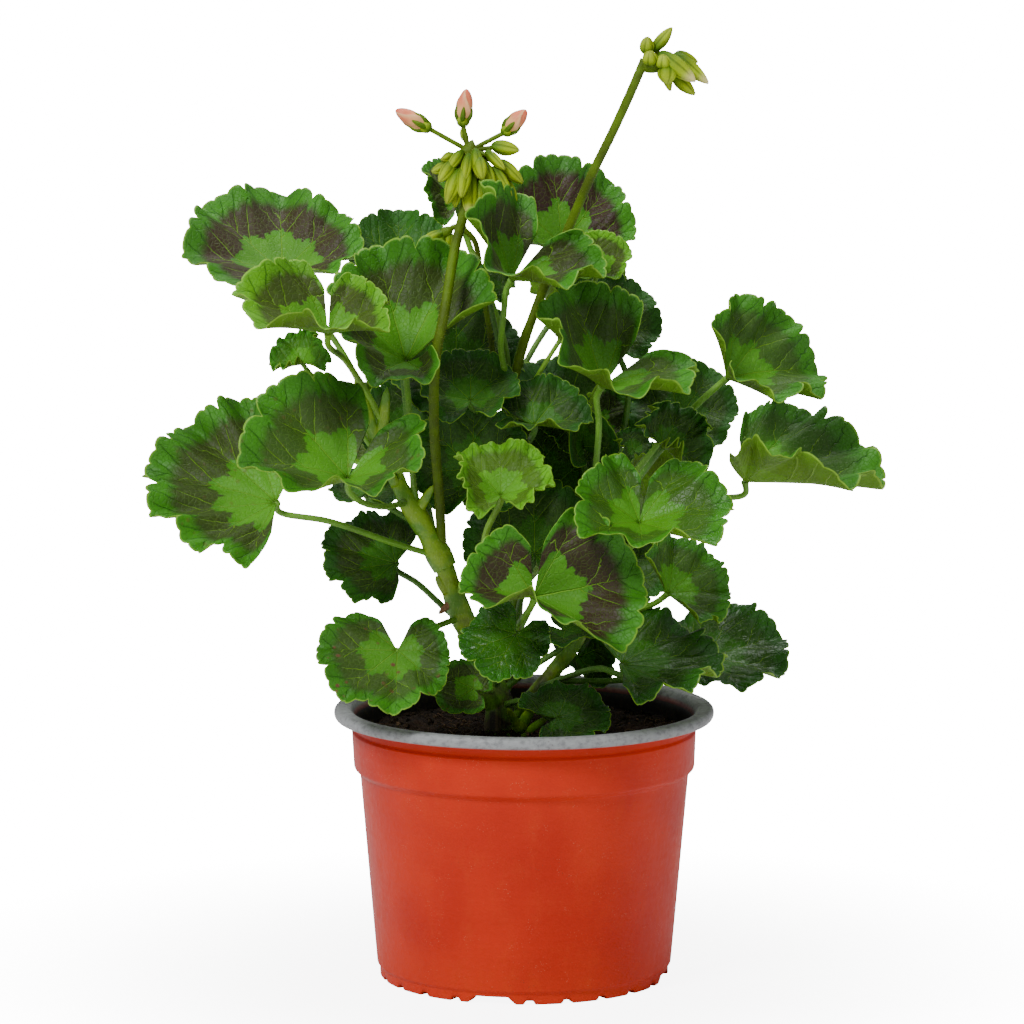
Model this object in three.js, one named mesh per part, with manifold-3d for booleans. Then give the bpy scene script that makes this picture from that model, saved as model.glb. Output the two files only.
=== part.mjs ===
// Potted zonal geranium: a two-colour plastic nursery pot, dark peat, a branching stem, scallop-edged
// leaves on long stalks and two heads of drooping buds. Millimetres, +Z up, the front of the plant
// towards -Y and its right side towards +X. The tables below are measured from the pot's axis; the
// finished plant's origin is on the floor at the middle of its width and depth.
import * as THREE from "three";
import { mergeVertices } from "three/addons/utils/BufferGeometryUtils.js";
import Module from "manifold-3d";

const wasm = await Module();
wasm.setup();

// ---- Driving dimensions ----------------------------------------------------------------------
const CLEARANCE = 0.3; // gap between neighbouring pieces
const POT_AXIS = { x: 3.6, y: 1.1 }; // from the middle of the plant's width and depth
const POT = {
  rimRadius: 75, // outside of the rolled rim
  height: 107.6,
  rimHeight: 4.5,
  collarRadius: 68, // red wall just under the rim
  collarFoot: 83, // height of the collar's lower step
  wallTop: 65.1, // wall radius just under the collar
  wallFoot: 58.3, // wall radius just above the foot ring
  footRadius: 57.2,
  footInside: 51.6,
  footHeight: 4.6,
  wall: 1.2,
  sides: 36,
};
const NOTCH = { count: 4, turn: -13, topWidth: 13, footWidth: 19.5 }; // large cut-outs in the foot ring
const CRENEL = { perQuarter: 5, width: 4.6, height: 1.7 }; // small scallops between the cut-outs
const SOIL = { level: 96.6, bump: 0.9, mound: 1.6, rings: 4 };

const BLADE_THICKNESS = 0.8;
const STALK_SIDES = 5;
const STALK_STEPS = 4;
const STEM_SIDES = 7;
const INNER_RING = 0.52; // where a blade's inner ring of corners stands, as a share of its reach
const LOBE_CUT = 0.07; // depth of the notch between two lobes, as a share of the leaf's reach
const TOOTH_CUT = 0.04; // depth of the notch between two teeth
const BASE_SHARE = 0.76; // reach of the two lobes beside the stalk, against the tip's

const RED = { color: 0xc4391d, roughness: 0.5, metalness: 0 };
const PEAT = { color: 0x1c120c, roughness: 1, metalness: 0 };
const BARK = { color: 0x7d8a3a, roughness: 0.75, metalness: 0 };
const BUD_GREEN = { color: 0xa9bd3a, roughness: 0.6, metalness: 0 };
const PETAL_PINK = { color: 0xf2b3a0, roughness: 0.55, metalness: 0 };
const LEAF_TONES = {
  dark: { color: 0x1f4a12, roughness: 0.55, metalness: 0 },
  mid: { color: 0x3c7a1e, roughness: 0.55, metalness: 0 },
  light: { color: 0x6ea334, roughness: 0.55, metalness: 0 },
  young: { color: 0x9fbf38, roughness: 0.55, metalness: 0 },
};

// ---- Small helpers ---------------------------------------------------------------------------
const radians = (degrees) => (degrees * Math.PI) / 180;
const vector = (point) => new THREE.Vector3(...point);

/** A closed geometry as a solid that can be joined and cut. */
function solidOf(geometry) {
  const bare = geometry.index ? geometry.toNonIndexed() : geometry.clone();
  bare.deleteAttribute("normal");
  bare.deleteAttribute("uv");
  const merged = mergeVertices(bare, 1e-4);
  return new wasm.Manifold(
    new wasm.Mesh({
      numProp: 3,
      vertProperties: merged.attributes.position.array,
      triVerts: new Uint32Array(merged.index.array),
    }),
  );
}

/** A solid as a named mesh of its own material. */
function meshOf(name, solid, finish) {
  const { numProp, numVert, vertProperties, triVerts } = solid.getMesh();
  const positions = new Float32Array(numVert * 3);
  for (let i = 0; i < numVert; i += 1) {
    positions.set(vertProperties.subarray(i * numProp, i * numProp + 3), i * 3);
  }
  const geometry = new THREE.BufferGeometry();
  geometry.setAttribute("position", new THREE.BufferAttribute(positions, 3));
  geometry.setIndex(new THREE.BufferAttribute(triVerts, 1));
  geometry.computeVertexNormals();
  const mesh = new THREE.Mesh(geometry, new THREE.MeshStandardMaterial(finish));
  mesh.name = name;
  return mesh;
}

const joined = (solids) => solids.reduce((whole, piece) => whole.add(piece));

/** The largest closed body of a solid, without the scraps that a cut leaves. */
function largestBody(solid) {
  const bodies = solid.decompose();
  return bodies.reduce((best, body) => (body.volume() > best.volume() ? body : best));
}

/** A round tube of constant radius along a smooth curve through the points. */
function tube(points, radius, sides, steps) {
  const section = new THREE.Shape(
    Array.from({ length: sides }, (_, i) => {
      const angle = (2 * Math.PI * i) / sides;
      return new THREE.Vector2(radius * Math.cos(angle), radius * Math.sin(angle));
    }),
  );
  const extrudePath = new THREE.CatmullRomCurve3(points.map(vector), false, "centripetal");
  return solidOf(new THREE.ExtrudeGeometry(section, { steps, extrudePath }));
}

/** A ball stretched along the line from one point to another, such as a bud or a swollen node. */
function spindle(from, to, radius, sides = 7, rings = 5) {
  const start = vector(from);
  const axis = vector(to).sub(start);
  const geometry = new THREE.SphereGeometry(1, sides, rings);
  geometry.scale(radius, axis.length() / 2, radius);
  geometry.applyQuaternion(
    new THREE.Quaternion().setFromUnitVectors(new THREE.Vector3(0, 1, 0), axis.clone().normalize()),
  );
  geometry.translate(...start.addScaledVector(axis, 0.5).toArray());
  return solidOf(geometry);
}

// ---- Pot -------------------------------------------------------------------------------------
/** Inside radius of the pot's wall at a height above the floor. */
function insideRadius(height) {
  const { wall, wallFoot, wallTop, collarFoot, collarRadius, footHeight } = POT;
  if (height >= collarFoot) return collarRadius - wall - 0.5;
  const rise = (height - footHeight) / (collarFoot - footHeight);
  return wallFoot + (wallTop - wallFoot) * rise - wall;
}

/** The pot's body: floor, foot ring, tapered wall, collar, groove and rolled rim. */
function potShell() {
  const { rimRadius, height, rimHeight, collarRadius, collarFoot, wallTop, wallFoot } = POT;
  const { footRadius, footInside, footHeight, wall, sides } = POT;
  const underRim = height - rimHeight;
  const profile = [
    [0, footHeight - wall],
    [footInside - 0.8, footHeight - wall],
    [footInside, 0],
    [footRadius, 0],
    [footRadius, footHeight - 0.4],
    [wallFoot, footHeight + 1],
    [wallTop, collarFoot - 1.4],
    [collarRadius - 0.6, collarFoot + 0.6],
    [collarRadius, underRim],
    [rimRadius - 0.6, underRim],
    [rimRadius, underRim + 0.8],
    [rimRadius, height - 1.2],
    [rimRadius - 1, height],
    [collarRadius + 1.6, height],
    [collarRadius - 0.2, height - 1],
    [collarRadius - wall, height - 3.4],
    [insideRadius(collarFoot), collarFoot + 0.2],
    [wallTop - wall, collarFoot - 2.2],
    [insideRadius(footHeight + 2), footHeight + 2],
    [insideRadius(footHeight + 2) - 1.4, footHeight + 0.4],
    [0, footHeight + 0.4],
  ];
  const points = profile.map(([radius, z]) => new THREE.Vector2(radius, z));
  const lathe = new THREE.LatheGeometry(points, sides);
  lathe.rotateX(Math.PI / 2); // the lathe's axis from +Y to +Z
  return solidOf(lathe);
}

/** A block that cuts the foot ring from the floor up, with slanting sides. */
function footCutter(angle, topWidth, footWidth, cutHeight) {
  const outline = new THREE.Shape([
    new THREE.Vector2(-footWidth / 2, -1),
    new THREE.Vector2(footWidth / 2, -1),
    new THREE.Vector2(topWidth / 2, cutHeight),
    new THREE.Vector2(-topWidth / 2, cutHeight),
  ]);
  const reach = 10;
  const block = new THREE.ExtrudeGeometry(outline, { depth: reach, bevelEnabled: false });
  block.rotateX(Math.PI / 2); // the outline stands up, its depth towards -Y
  block.translate(0, -(POT.footInside - 2), 0);
  block.rotateZ(angle);
  return solidOf(block);
}

function makePot() {
  const cutters = [];
  const quarter = 360 / NOTCH.count;
  for (let side = 0; side < NOTCH.count; side += 1) {
    const start = NOTCH.turn + side * quarter;
    cutters.push(
      footCutter(radians(start), NOTCH.topWidth, NOTCH.footWidth, POT.footHeight - POT.wall - 0.4),
    );
    for (let step = 1; step <= CRENEL.perQuarter; step += 1) {
      const turn = start + (quarter * step) / (CRENEL.perQuarter + 1);
      cutters.push(footCutter(radians(turn), CRENEL.width * 0.6, CRENEL.width, CRENEL.height));
    }
  }
  return potShell().subtract(joined(cutters));
}

// ---- Soil ------------------------------------------------------------------------------------
/** Height of the peat's crumbly surface over a place in the pot. */
function soilHeight(x, y) {
  const lumps =
    Math.sin(0.21 * x + 1.3) * Math.cos(0.17 * y - 0.6) + 0.6 * Math.sin(0.43 * x - 0.35 * y + 2);
  return SOIL.level + SOIL.bump * lumps + SOIL.mound * Math.exp(-(x * x + y * y) / 500);
}

/** Peat that fills the pot's inside: its wall follows the pot, its top is uneven. */
function makeSoil(clearOf) {
  const floor = POT.footHeight + 0.4 + CLEARANCE;
  const edge = insideRadius(POT.collarFoot + 1) - CLEARANCE - 0.2;
  const wallRows = [
    [insideRadius(floor + 2) - 2.2, floor],
    [insideRadius(floor + 3) - CLEARANCE - 0.1, floor + 3],
    [POT.wallTop - POT.wall - CLEARANCE - 0.2, POT.collarFoot - 2.4],
    [edge, POT.collarFoot + 1.6],
  ];
  const profile = [[0, floor], ...wallRows];
  for (let ring = SOIL.rings; ring >= 0; ring -= 1) {
    profile.push([(edge * ring) / SOIL.rings, SOIL.level]);
  }
  const points = profile.map(([radius, z]) => new THREE.Vector2(radius, z));
  const lathe = new THREE.LatheGeometry(points, POT.sides);
  lathe.rotateX(Math.PI / 2);
  const position = lathe.attributes.position;
  for (let i = 0; i < position.count; i += 1) {
    if (Math.abs(position.getZ(i) - SOIL.level) < 1e-3) {
      const onAxis = Math.hypot(position.getX(i), position.getY(i)) < 1e-3;
      const x = onAxis ? 0 : position.getX(i);
      const y = onAxis ? 0 : position.getY(i);
      position.setZ(i, soilHeight(x, y));
    }
  }
  return solidOf(lathe).subtract(clearOf);
}

// ---- Leaves ----------------------------------------------------------------------------------
/**
 * How far the margin stands from the stalk, as a share of the leaf's reach. `place` runs from 0 at
 * one side of the open sinus to 1 at the other; the lobes and their teeth divide it evenly.
 */
function marginShare(place, lobes, teeth) {
  const turn = 2 * Math.PI * (place - 0.5);
  const round = BASE_SHARE + (1 - BASE_SHARE) * (0.5 + 0.5 * Math.cos(turn)) ** 0.6;
  const inLobe = (place * lobes) % 1;
  const inTooth = (place * lobes * teeth) % 1;
  const lobeNotch = place === 1 ? 1 : Math.abs(2 * inLobe - 1) ** 4;
  const toothNotch = place === 1 ? 1 : Math.abs(2 * inTooth - 1) ** 2;
  return round * (1 - LOBE_CUT * lobeNotch - TOOTH_CUT * toothNotch);
}

/**
 * The middle surface of a blade. Its frame is the way its upper face looks (azimuth from the front,
 * elevation), and directions in the blade are counted clockwise from straight up. Each ray from the
 * stalk rises by the cone angle, changed by a fold along one direction, by a tilt of each lobe and
 * by two soft waves; it is longer towards the direction in which the blade leans.
 */
class BladeSurface {
  constructor(leaf) {
    const [azimuth, elevation] = leaf.faces.map(radians);
    this.leaf = leaf;
    this.base = vector(leaf.at);
    this.normal = new THREE.Vector3(
      Math.sin(azimuth) * Math.cos(elevation),
      -Math.cos(azimuth) * Math.cos(elevation),
      Math.sin(elevation),
    );
    this.up = new THREE.Vector3(
      -Math.sin(azimuth) * Math.sin(elevation),
      Math.cos(azimuth) * Math.sin(elevation),
      Math.cos(elevation),
    );
    this.right = new THREE.Vector3(Math.cos(azimuth), Math.sin(azimuth), 0);
    this.tip = radians(leaf.tip);
    this.sinus = radians(leaf.sinus);
    this.phases = [0.37, 0.81].map((share) => 2 * Math.PI * ((share * leaf.seed) % 1));
  }

  /** Direction in the blade, clockwise from up, at a place along the margin. */
  heading(place) {
    return this.tip + 2 * (place - 0.5) * (Math.PI - this.sinus);
  }

  point(share, place) {
    const { leaf } = this;
    const heading = this.heading(place);
    const fold = leaf.fold[0] * Math.cos(2 * (heading - radians(leaf.fold[1])));
    const waves =
      Math.sin(2 * heading + this.phases[0]) + Math.sin(3 * heading + this.phases[1]);
    const pleat = leaf.pleat * Math.cos(2 * Math.PI * leaf.lobes * place);
    const rise = radians(leaf.cone - fold + share * (leaf.wave * waves + pleat));
    const lean = 1 + leaf.lean[0] * Math.cos(heading - radians(leaf.lean[1]));
    const length = leaf.reach * lean * marginShare(place, leaf.lobes, leaf.teeth) * share;
    const outward = length * Math.cos(rise);
    const lift = length * Math.sin(rise);
    return this.base
      .clone()
      .addScaledVector(this.up, outward * Math.cos(heading))
      .addScaledVector(this.right, outward * Math.sin(heading))
      .addScaledVector(this.normal, lift);
  }

  /** The upper face's direction at a point, from two short steps along the surface. */
  facing(share, place) {
    const step = 0.004;
    const near = Math.min(Math.max(place, step), 1 - step);
    const outward = this.point(share + step, near).sub(this.point(share - step, near));
    const across = this.point(share, near + step).sub(this.point(share, near - step));
    return across.cross(outward).normalize();
  }
}

/**
 * A thin blade: the same triangles on both faces, closed by walls at the margin and the sinus. An
 * inner ring has half as many corners as the margin, which has one at each tooth and each notch.
 */
function bladeSolid(leaf) {
  const surface = new BladeSurface(leaf);
  const columns = leaf.lobes * leaf.teeth * 2;
  const upper = [];
  const lower = [];
  const add = (point, facing) => {
    upper.push(point.clone().addScaledVector(facing, BLADE_THICKNESS / 2));
    lower.push(point.clone().addScaledVector(facing, -BLADE_THICKNESS / 2));
    return upper.length - 1;
  };
  const ring = (share, count) =>
    Array.from({ length: count + 1 }, (_, i) =>
      add(surface.point(share, i / count), surface.facing(share, i / count)),
    );
  const centre = add(surface.base, surface.normal);
  const inner = ring(INNER_RING, columns / 2);
  const margin = ring(1, columns);
  const count = upper.length;
  const triangles = [];
  const face = (a, b, c) => triangles.push([a, c, b], [a + count, b + count, c + count]);
  const wall = (a, b) => triangles.push([a, b, b + count], [a, b + count, a + count]);
  for (let i = 0; i < inner.length - 1; i += 1) {
    const [near, far] = [inner[i], inner[i + 1]];
    const [first, middle, last] = margin.slice(2 * i, 2 * i + 3);
    face(centre, near, far);
    face(near, first, middle);
    face(near, middle, far);
    face(far, middle, last);
    wall(first, middle);
    wall(middle, last);
  }
  wall(centre, inner[0]);
  wall(inner[0], margin[0]);
  wall(margin.at(-1), inner.at(-1));
  wall(inner.at(-1), centre);
  const corners = [...upper, ...lower];
  const positions = triangles.flat().flatMap((corner) => corners[corner].toArray());
  const geometry = new THREE.BufferGeometry();
  geometry.setAttribute("position", new THREE.Float32BufferAttribute(positions, 3));
  return solidOf(geometry);
}

/** A leaf: its blade and the stalk that ends in the blade's base, from a point inside a stem. */
function leafSolid(leaf) {
  const blade = bladeSolid(leaf);
  const { normal } = new BladeSurface(leaf);
  const end = vector(leaf.at).addScaledVector(normal, -0.1).toArray();
  const beneath = vector(leaf.at).addScaledVector(normal, -leaf.reach * 0.12).toArray();
  const stalk = tube([...leaf.stalk, beneath, end], leaf.stalkRadius, STALK_SIDES, STALK_STEPS);
  return blade.add(stalk);
}

/** What a leaf has unless its own row says otherwise; angles in degrees. */
const USUAL_LEAF = {
  tip: 0, // heading of the leaf's tip, clockwise from up
  sinus: 12, // half of the open angle beside the stalk
  cone: 25, // rise of the blade from the stalk outwards
  fold: [0, 0], // amount, and the heading along which the blade stays low
  lean: [0, 0], // longer towards this heading, as a share of the reach
  wave: 4,
  pleat: 5,
  lobes: 7,
  teeth: 2,
  stalkRadius: 1.3,
  tone: "mid",
};

// at: where the stalk meets the blade. faces: azimuth and elevation of the upper face. stalk: from a
// point inside a stem towards the blade.
const LEAVES = [
  // upper left
  { name: "leaf_upper_left", at: [-95, 16, 277], faces: [0, 67], reach: 43, cone: 25, tip: -4,
    lean: [0.1, -100], stalk: [[-46, -8, 191], [-58, 2, 222], [-78, 12, 256]] },
  { name: "leaf_funnel_left", at: [-75, -48, 259.7], faces: [4, 58], sinus: 6, fold: [8, 90],
    reach: 38, cone: 38, tip: 180, lean: [0.2, -100], tone: "light",
    stalk: [[-45, -9, 190], [-56, -6, 222], [-68, -14, 244]] },
  { name: "leaf_back_left", at: [-50, 34, 278.5], faces: [0, 38], reach: 24.5, cone: 20,
    fold: [12, 0], tone: "dark", stalk: [[-42, -9, 184], [-46, 10, 220], [-50, 26, 260]] },
  { name: "leaf_centre_funnel", at: [-46, -16, 245.5], faces: [0, 55], sinus: 20, reach: 48,
    cone: 38, fold: [8, 0], tip: -63, lean: [0.2, 60],
    stalk: [[-41, -9, 182], [-44, -12, 205], [-45, -14, 228]] },
  { name: "leaf_behind_left_buds", at: [-27, 28, 306], faces: [0, 38], reach: 19, cone: 25,
    fold: [18, 0], tip: -10, stalk: [[-5, 9, 220], [-8, 22, 250], [-22, 28, 288]] },
  { name: "leaf_curled_small", at: [-86, -14, 245], faces: [-20, 50], reach: 14, cone: 30, wave: 12,
    lobes: 5, tip: -40, stalkRadius: 1, stalk: [[-48, -8, 193], [-66, -8, 220]] },
  // top and centre
  { name: "leaf_top_funnel", at: [-5, -14, 277], faces: [35, 50], reach: 45, cone: 45, tip: 238,
    stalk: [[-5, 8, 230], [-9, 0, 248], [-8, -10, 264]] },
  { name: "leaf_top_right", at: [15, 38, 286], faces: [20, 50], reach: 34, cone: 28,
    fold: [8, 90], lean: [0.08, -10], stalk: [[-6, 9, 230], [0, 25, 252], [12, 36, 276]] },
  { name: "leaf_top_small", at: [29, 2, 280], faces: [0, 40], reach: 16, cone: 30, lobes: 5,
    tone: "light", stalkRadius: 1, stalk: [[-4, 9, 222], [10, 2, 246], [24, 2, 268]] },
  { name: "leaf_inner_curled", at: [-14, 6, 271], faces: [0, 40], reach: 12, cone: 20, wave: 10,
    lobes: 5, tone: "dark", stalkRadius: 1, stalk: [[-5, 8, 232], [-10, 7, 250]] },
  { name: "leaf_right_funnel", at: [30, -18, 236], faces: [30, 50], reach: 48, cone: 42,
    tip: 250, stalk: [[31, 8, 176], [28, -2, 196], [29, -14, 222]] },
  { name: "leaf_behind_right_funnel", at: [33, 26, 254], faces: [10, 35], teeth: 1, reach: 19,
    cone: 12, tone: "dark", stalk: [[31, 8, 178], [37, 25, 202], [41, 24, 234]] },
  { name: "leaf_folded_dark", at: [23, 27, 207], faces: [0, 45], lean: [0.3, -20], teeth: 1,
    reach: 33, cone: 48, fold: [34, -22], tip: -22, tone: "dark",
    stalk: [[28, 8, 172], [25, 12, 193]] },
  { name: "leaf_inner_back", at: [-27, 30, 238], faces: [0, 25], teeth: 1, reach: 24, cone: 8,
    tone: "dark", stalk: [[-5, 11, 200], [-16, 24, 222]] },
  { name: "leaf_inner_upper", at: [-21, -4, 229], faces: [0, 50], teeth: 1, reach: 18, cone: 20,
    lean: [0, 0], tone: "dark", stalk: [[-5, 11, 204], [-12, 8, 218]] },
  { name: "leaf_inner_right", at: [4, -8, 220], faces: [0, 62], teeth: 1, reach: 18, cone: 25,
    fold: [12, 90], tip: 90, tone: "dark", stalk: [[-4, 12, 192], [0, 6, 208]] },
  { name: "leaf_inner_middle", at: [-20, -2, 202], faces: [0, 15], teeth: 1, reach: 21,
    cone: 12, tone: "dark", stalk: [[-4, 12, 178], [-10, 6, 192]] },
  { name: "leaf_inner_left", at: [-46, 24, 214], faces: [0, 35], teeth: 1, reach: 18, cone: 8,
    tone: "dark", lobes: 5, stalk: [[-34, -10, 170], [-40, 8, 196]] },
  { name: "leaf_inner_low", at: [8, 24, 188], faces: [0, 30], teeth: 1, reach: 26, cone: 10,
    tone: "dark", stalk: [[-4, 12, 160], [2, 20, 174]] },
  { name: "leaf_inner_lowest", at: [4, 0, 168], faces: [0, 40], teeth: 1, reach: 22, cone: 10,
    tone: "dark", stalk: [[-4, 11, 136], [0, 4, 154]] },
  { name: "leaf_young_front", at: [-9, -44, 197], faces: [0, 52], reach: 24, cone: 28, wave: 8,
    tone: "young", stalk: [[-27, -8, 152], [-18, -24, 168], [-14, -38, 184]] },
  // right side
  { name: "leaf_far_right_upper", at: [79, -6, 238], faces: [58, 38], reach: 37, cone: 40,
    tip: 110, lean: [0.08, 120], stalk: [[33, 6, 186], [50, 1, 208], [68, -4, 228]] },
  { name: "leaf_far_right_lower", at: [86.5, -3, 197], faces: [0, 75], sinus: 72,
    lean: [0.25, 100], reach: 43.5, cone: 24, fold: [20, 95], tip: 100,
    stalk: [[32, 6, 178], [54, 4, 184], [74, -2, 190]] },
  { name: "leaf_right_curled", at: [54, -14, 212], faces: [40, 40], reach: 20, cone: 35,
    wave: 14, tip: 90, tone: "dark", stalkRadius: 1.2, stalk: [[33, 7, 182], [41, -7, 194]] },
  { name: "leaf_behind_right", at: [62, 32, 218], faces: [-10, 35], teeth: 1, reach: 25,
    cone: 10, tip: 30, tone: "dark", stalk: [[33, 7, 186], [48, 22, 203]] },
  { name: "leaf_right_small_curled", at: [43, 16, 207], faces: [20, 45], reach: 10, cone: 20,
    wave: 12, lobes: 5, tone: "dark", stalkRadius: 1, stalk: [[34, 6, 181], [41, 9, 195]] },
  { name: "leaf_right_inner", at: [26, 40, 212], faces: [0, 45], teeth: 1, reach: 17, cone: 15,
    stalk: [[29, 8, 164], [28, 28, 190]] },
  { name: "leaf_right_front", at: [44, -50, 187], faces: [14, 54], sinus: 6, reach: 37,
    cone: 28, tip: 195, lean: [0.12, 90], stalk: [[28, 8, 160], [34, -16, 170], [42, -42, 178]] },
  { name: "leaf_right_side", at: [56, -12, 154], faces: [55, 40], reach: 27, cone: 30, tip: 75,
    sinus: 40, stalk: [[22, 9, 138], [38, 0, 144], [50, -8, 149]] },
  { name: "leaf_right_behind", at: [34, 18, 158], faces: [0, 40], teeth: 1, reach: 20, cone: 10,
    tip: 60, tone: "dark", stalk: [[24, 9, 144], [30, 15, 151]] },
  { name: "leaf_low_right", at: [38, -36, 130], faces: [8, 66], lean: [0.08, 90], reach: 38,
    cone: 6, tip: 80, sinus: 72, tone: "dark",
    stalk: [[6, 8, 113], [16, -8, 120], [30, -28, 127]] },
  { name: "leaf_low_far_right", at: [73, 2, 126], faces: [20, 61], reach: 29, cone: 12, tip: 80,
    sinus: 25, lean: [0.12, 80], tone: "dark", stalk: [[10, 9, 116], [34, 8, 116], [56, 6, 119]] },
  { name: "leaf_low_folded", at: [22, 26, 122.6], faces: [10, 30], teeth: 1, reach: 16,
    cone: 35, fold: [25, 150], tip: 150, tone: "dark", lobes: 5,
    stalk: [[8, 10, 114], [15, 20, 119]] },
  // front
  { name: "leaf_front_large", at: [3.4, -64, 160.7], faces: [12, 46], sinus: 10, reach: 41,
    cone: 28, fold: [24, 112], lean: [0.2, 80], tip: 185,
    stalk: [[-16, -4, 124], [-8, -28, 138], [0, -56, 152]] },
  { name: "leaf_front_glossy", at: [-3.3, -60, 145.8], faces: [-10, 40], sinus: 25, reach: 20,
    cone: 0, tip: 200, lean: [0.18, -90], stalk: [[-12, -1, 114], [-8, -22, 126], [-4, -44, 137]] },
  { name: "leaf_front_hidden", at: [16, -4, 138], faces: [0, 66], teeth: 1, reach: 14, cone: 8,
    tip: 120, tone: "dark", lobes: 5, stalk: [[-11, -1, 112], [4, -4, 124], [15, -4, 132]] },
  { name: "leaf_low_front", at: [13, -36, 109], faces: [10, 58], reach: 21, cone: 5, tip: 70,
    sinus: 20, tone: "dark", stalk: [[-10, 0, 107], [0, -16, 112], [8, -30, 109]] },
  { name: "leaf_low_small", at: [-20, -34, 120], faces: [0, 32], reach: 13, cone: 5, tip: -60,
    lobes: 5, lean: [0.25, -100], stalkRadius: 1,
    stalk: [[-12, -1, 113], [-14, -14, 116], [-17, -28, 118]] },
  // left side
  { name: "leaf_left_front", at: [-67.3, -56, 205], faces: [0, 58], sinus: 7, reach: 44,
    cone: 31, tip: 210, lean: [0.18, -20],
    stalk: [[-45, -9, 190], [-54, -24, 190], [-64, -48, 196]] },
  { name: "leaf_far_left", at: [-96, -28, 192], faces: [-15, 46], lean: [0.14, -60], reach: 47,
    cone: 18, tip: -85, sinus: 75, stalk: [[-32, -10, 168], [-50, -14, 174], [-76, -22, 184]] },
  { name: "leaf_left_under", at: [-62, 4, 192], faces: [0, 70], teeth: 1, reach: 17, cone: 5,
    tone: "dark", lobes: 5, stalk: [[-40, -10, 180], [-52, -2, 186]] },
  { name: "leaf_left_dark", at: [-50.5, -2, 164.5], faces: [0, 52], lean: [0.08, -60],
    reach: 28, cone: 8, tip: -76, sinus: 68, tone: "dark",
    stalk: [[-24, -7, 141], [-33, -6, 149], [-42, -4, 157]] },
  { name: "leaf_low_left", at: [-49, -46, 137], faces: [0, 45], reach: 29, cone: 6, tip: 180,
    sinus: 26, lean: [0.2, -100], stalk: [[-24, -7, 144], [-34, -18, 142], [-44, -36, 138]] },
  // round the back, hidden from the front
  { name: "leaf_rear_left", at: [-74, 52, 205], faces: [200, 45], teeth: 1, reach: 30, cone: 15,
    stalk: [[-38, -10, 178], [-50, 14, 192], [-64, 38, 198]] },
  { name: "leaf_rear_right", at: [50, 56, 182], faces: [155, 45], teeth: 1, reach: 28, cone: 15,
    stalk: [[20, 10, 133], [34, 34, 140], [44, 52, 164]] },
  { name: "leaf_rear_low", at: [8, 74, 152], faces: [185, 45], teeth: 1, reach: 30, cone: 15,
    stalk: [[-6, 8, 122], [-2, 30, 132], [6, 58, 144]] },
  { name: "leaf_rear_top", at: [-40, 78, 254], faces: [185, 45], teeth: 1, reach: 26, cone: 15,
    stalk: [[-5, 10, 210], [-16, 38, 226], [-34, 62, 244]] },
  { name: "leaf_rear_upper_right", at: [22, 85, 262], faces: [170, 45], teeth: 1, reach: 24,
    cone: 15, stalk: [[-5, 10, 206], [-4, 38, 228], [12, 68, 254]] },
].map((row, i) => ({ ...USUAL_LEAF, ...row, seed: i + 1 }));

// ---- Stems -----------------------------------------------------------------------------------
// Each branch: its points from the base up, and its radius in each stretch.
const TRUNK = [[-8, 0, 70], [-8, 0, 97], [-11, -1, 110], [-16, -4, 124], [-22, -6, 138]];
const LEADER = [[-19, -5, 131], [-22, -6, 138], [-27, -8, 151], [-32, -10, 167]];
const LEFT_BRANCH = [[-31, -10, 164], [-37, -10, 176], [-44, -9, 188], [-50, -8, 198]];
const CENTRE_BRANCH = [
  [-10, 0, 106], [-6, 8, 122], [-3, 12, 150], [-4, 12, 185], [-5, 10, 215], [-5, 7, 238],
];
const RIGHT_BRANCH = [[-8, 1, 100], [6, 8, 113], [20, 10, 132], [29, 8, 158], [34, 6, 188]];
const BRANCHES = [
  { points: TRUNK, radius: 5.4, steps: 6 },
  { points: LEADER, radius: 3.9, steps: 4 },
  { points: LEFT_BRANCH, radius: 3.4, steps: 4 },
  { points: CENTRE_BRANCH, radius: 2.9, steps: 7 },
  { points: RIGHT_BRANCH, radius: 3.1, steps: 6 },
];
// Swollen nodes where leaves and branches leave the stem, and the young shoots beside them.
const JOINTS = [
  { from: [-8, 0, 78], to: [-10, -1, 120], radius: 6.9 },
  { from: [-24, -7, 143], to: [-30, -9, 158], radius: 4.9 },
  { from: [-30, -10, 160], to: [-36, -10, 174], radius: 5.2 },
  { from: [-34, -10, 172], to: [-50, -9, 196], radius: 5.6 },
  { from: [-47, -8, 190], to: [-58, -4, 214], radius: 2.2 },
  { from: [-6, -1, 99], to: [1, -10, 112], radius: 2 },
];

/** All the branches fused, grown or shrunk by a margin for the clearance of what touches them. */
function stemSolid(margin) {
  const tubes = BRANCHES.map(({ points, radius, steps }) =>
    tube(points, radius + margin, STEM_SIDES, steps),
  );
  const nodes = JOINTS.map(({ from, to, radius }) => spindle(from, to, radius + margin, 7, 5));
  return joined([...tubes, ...nodes]);
}

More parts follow.
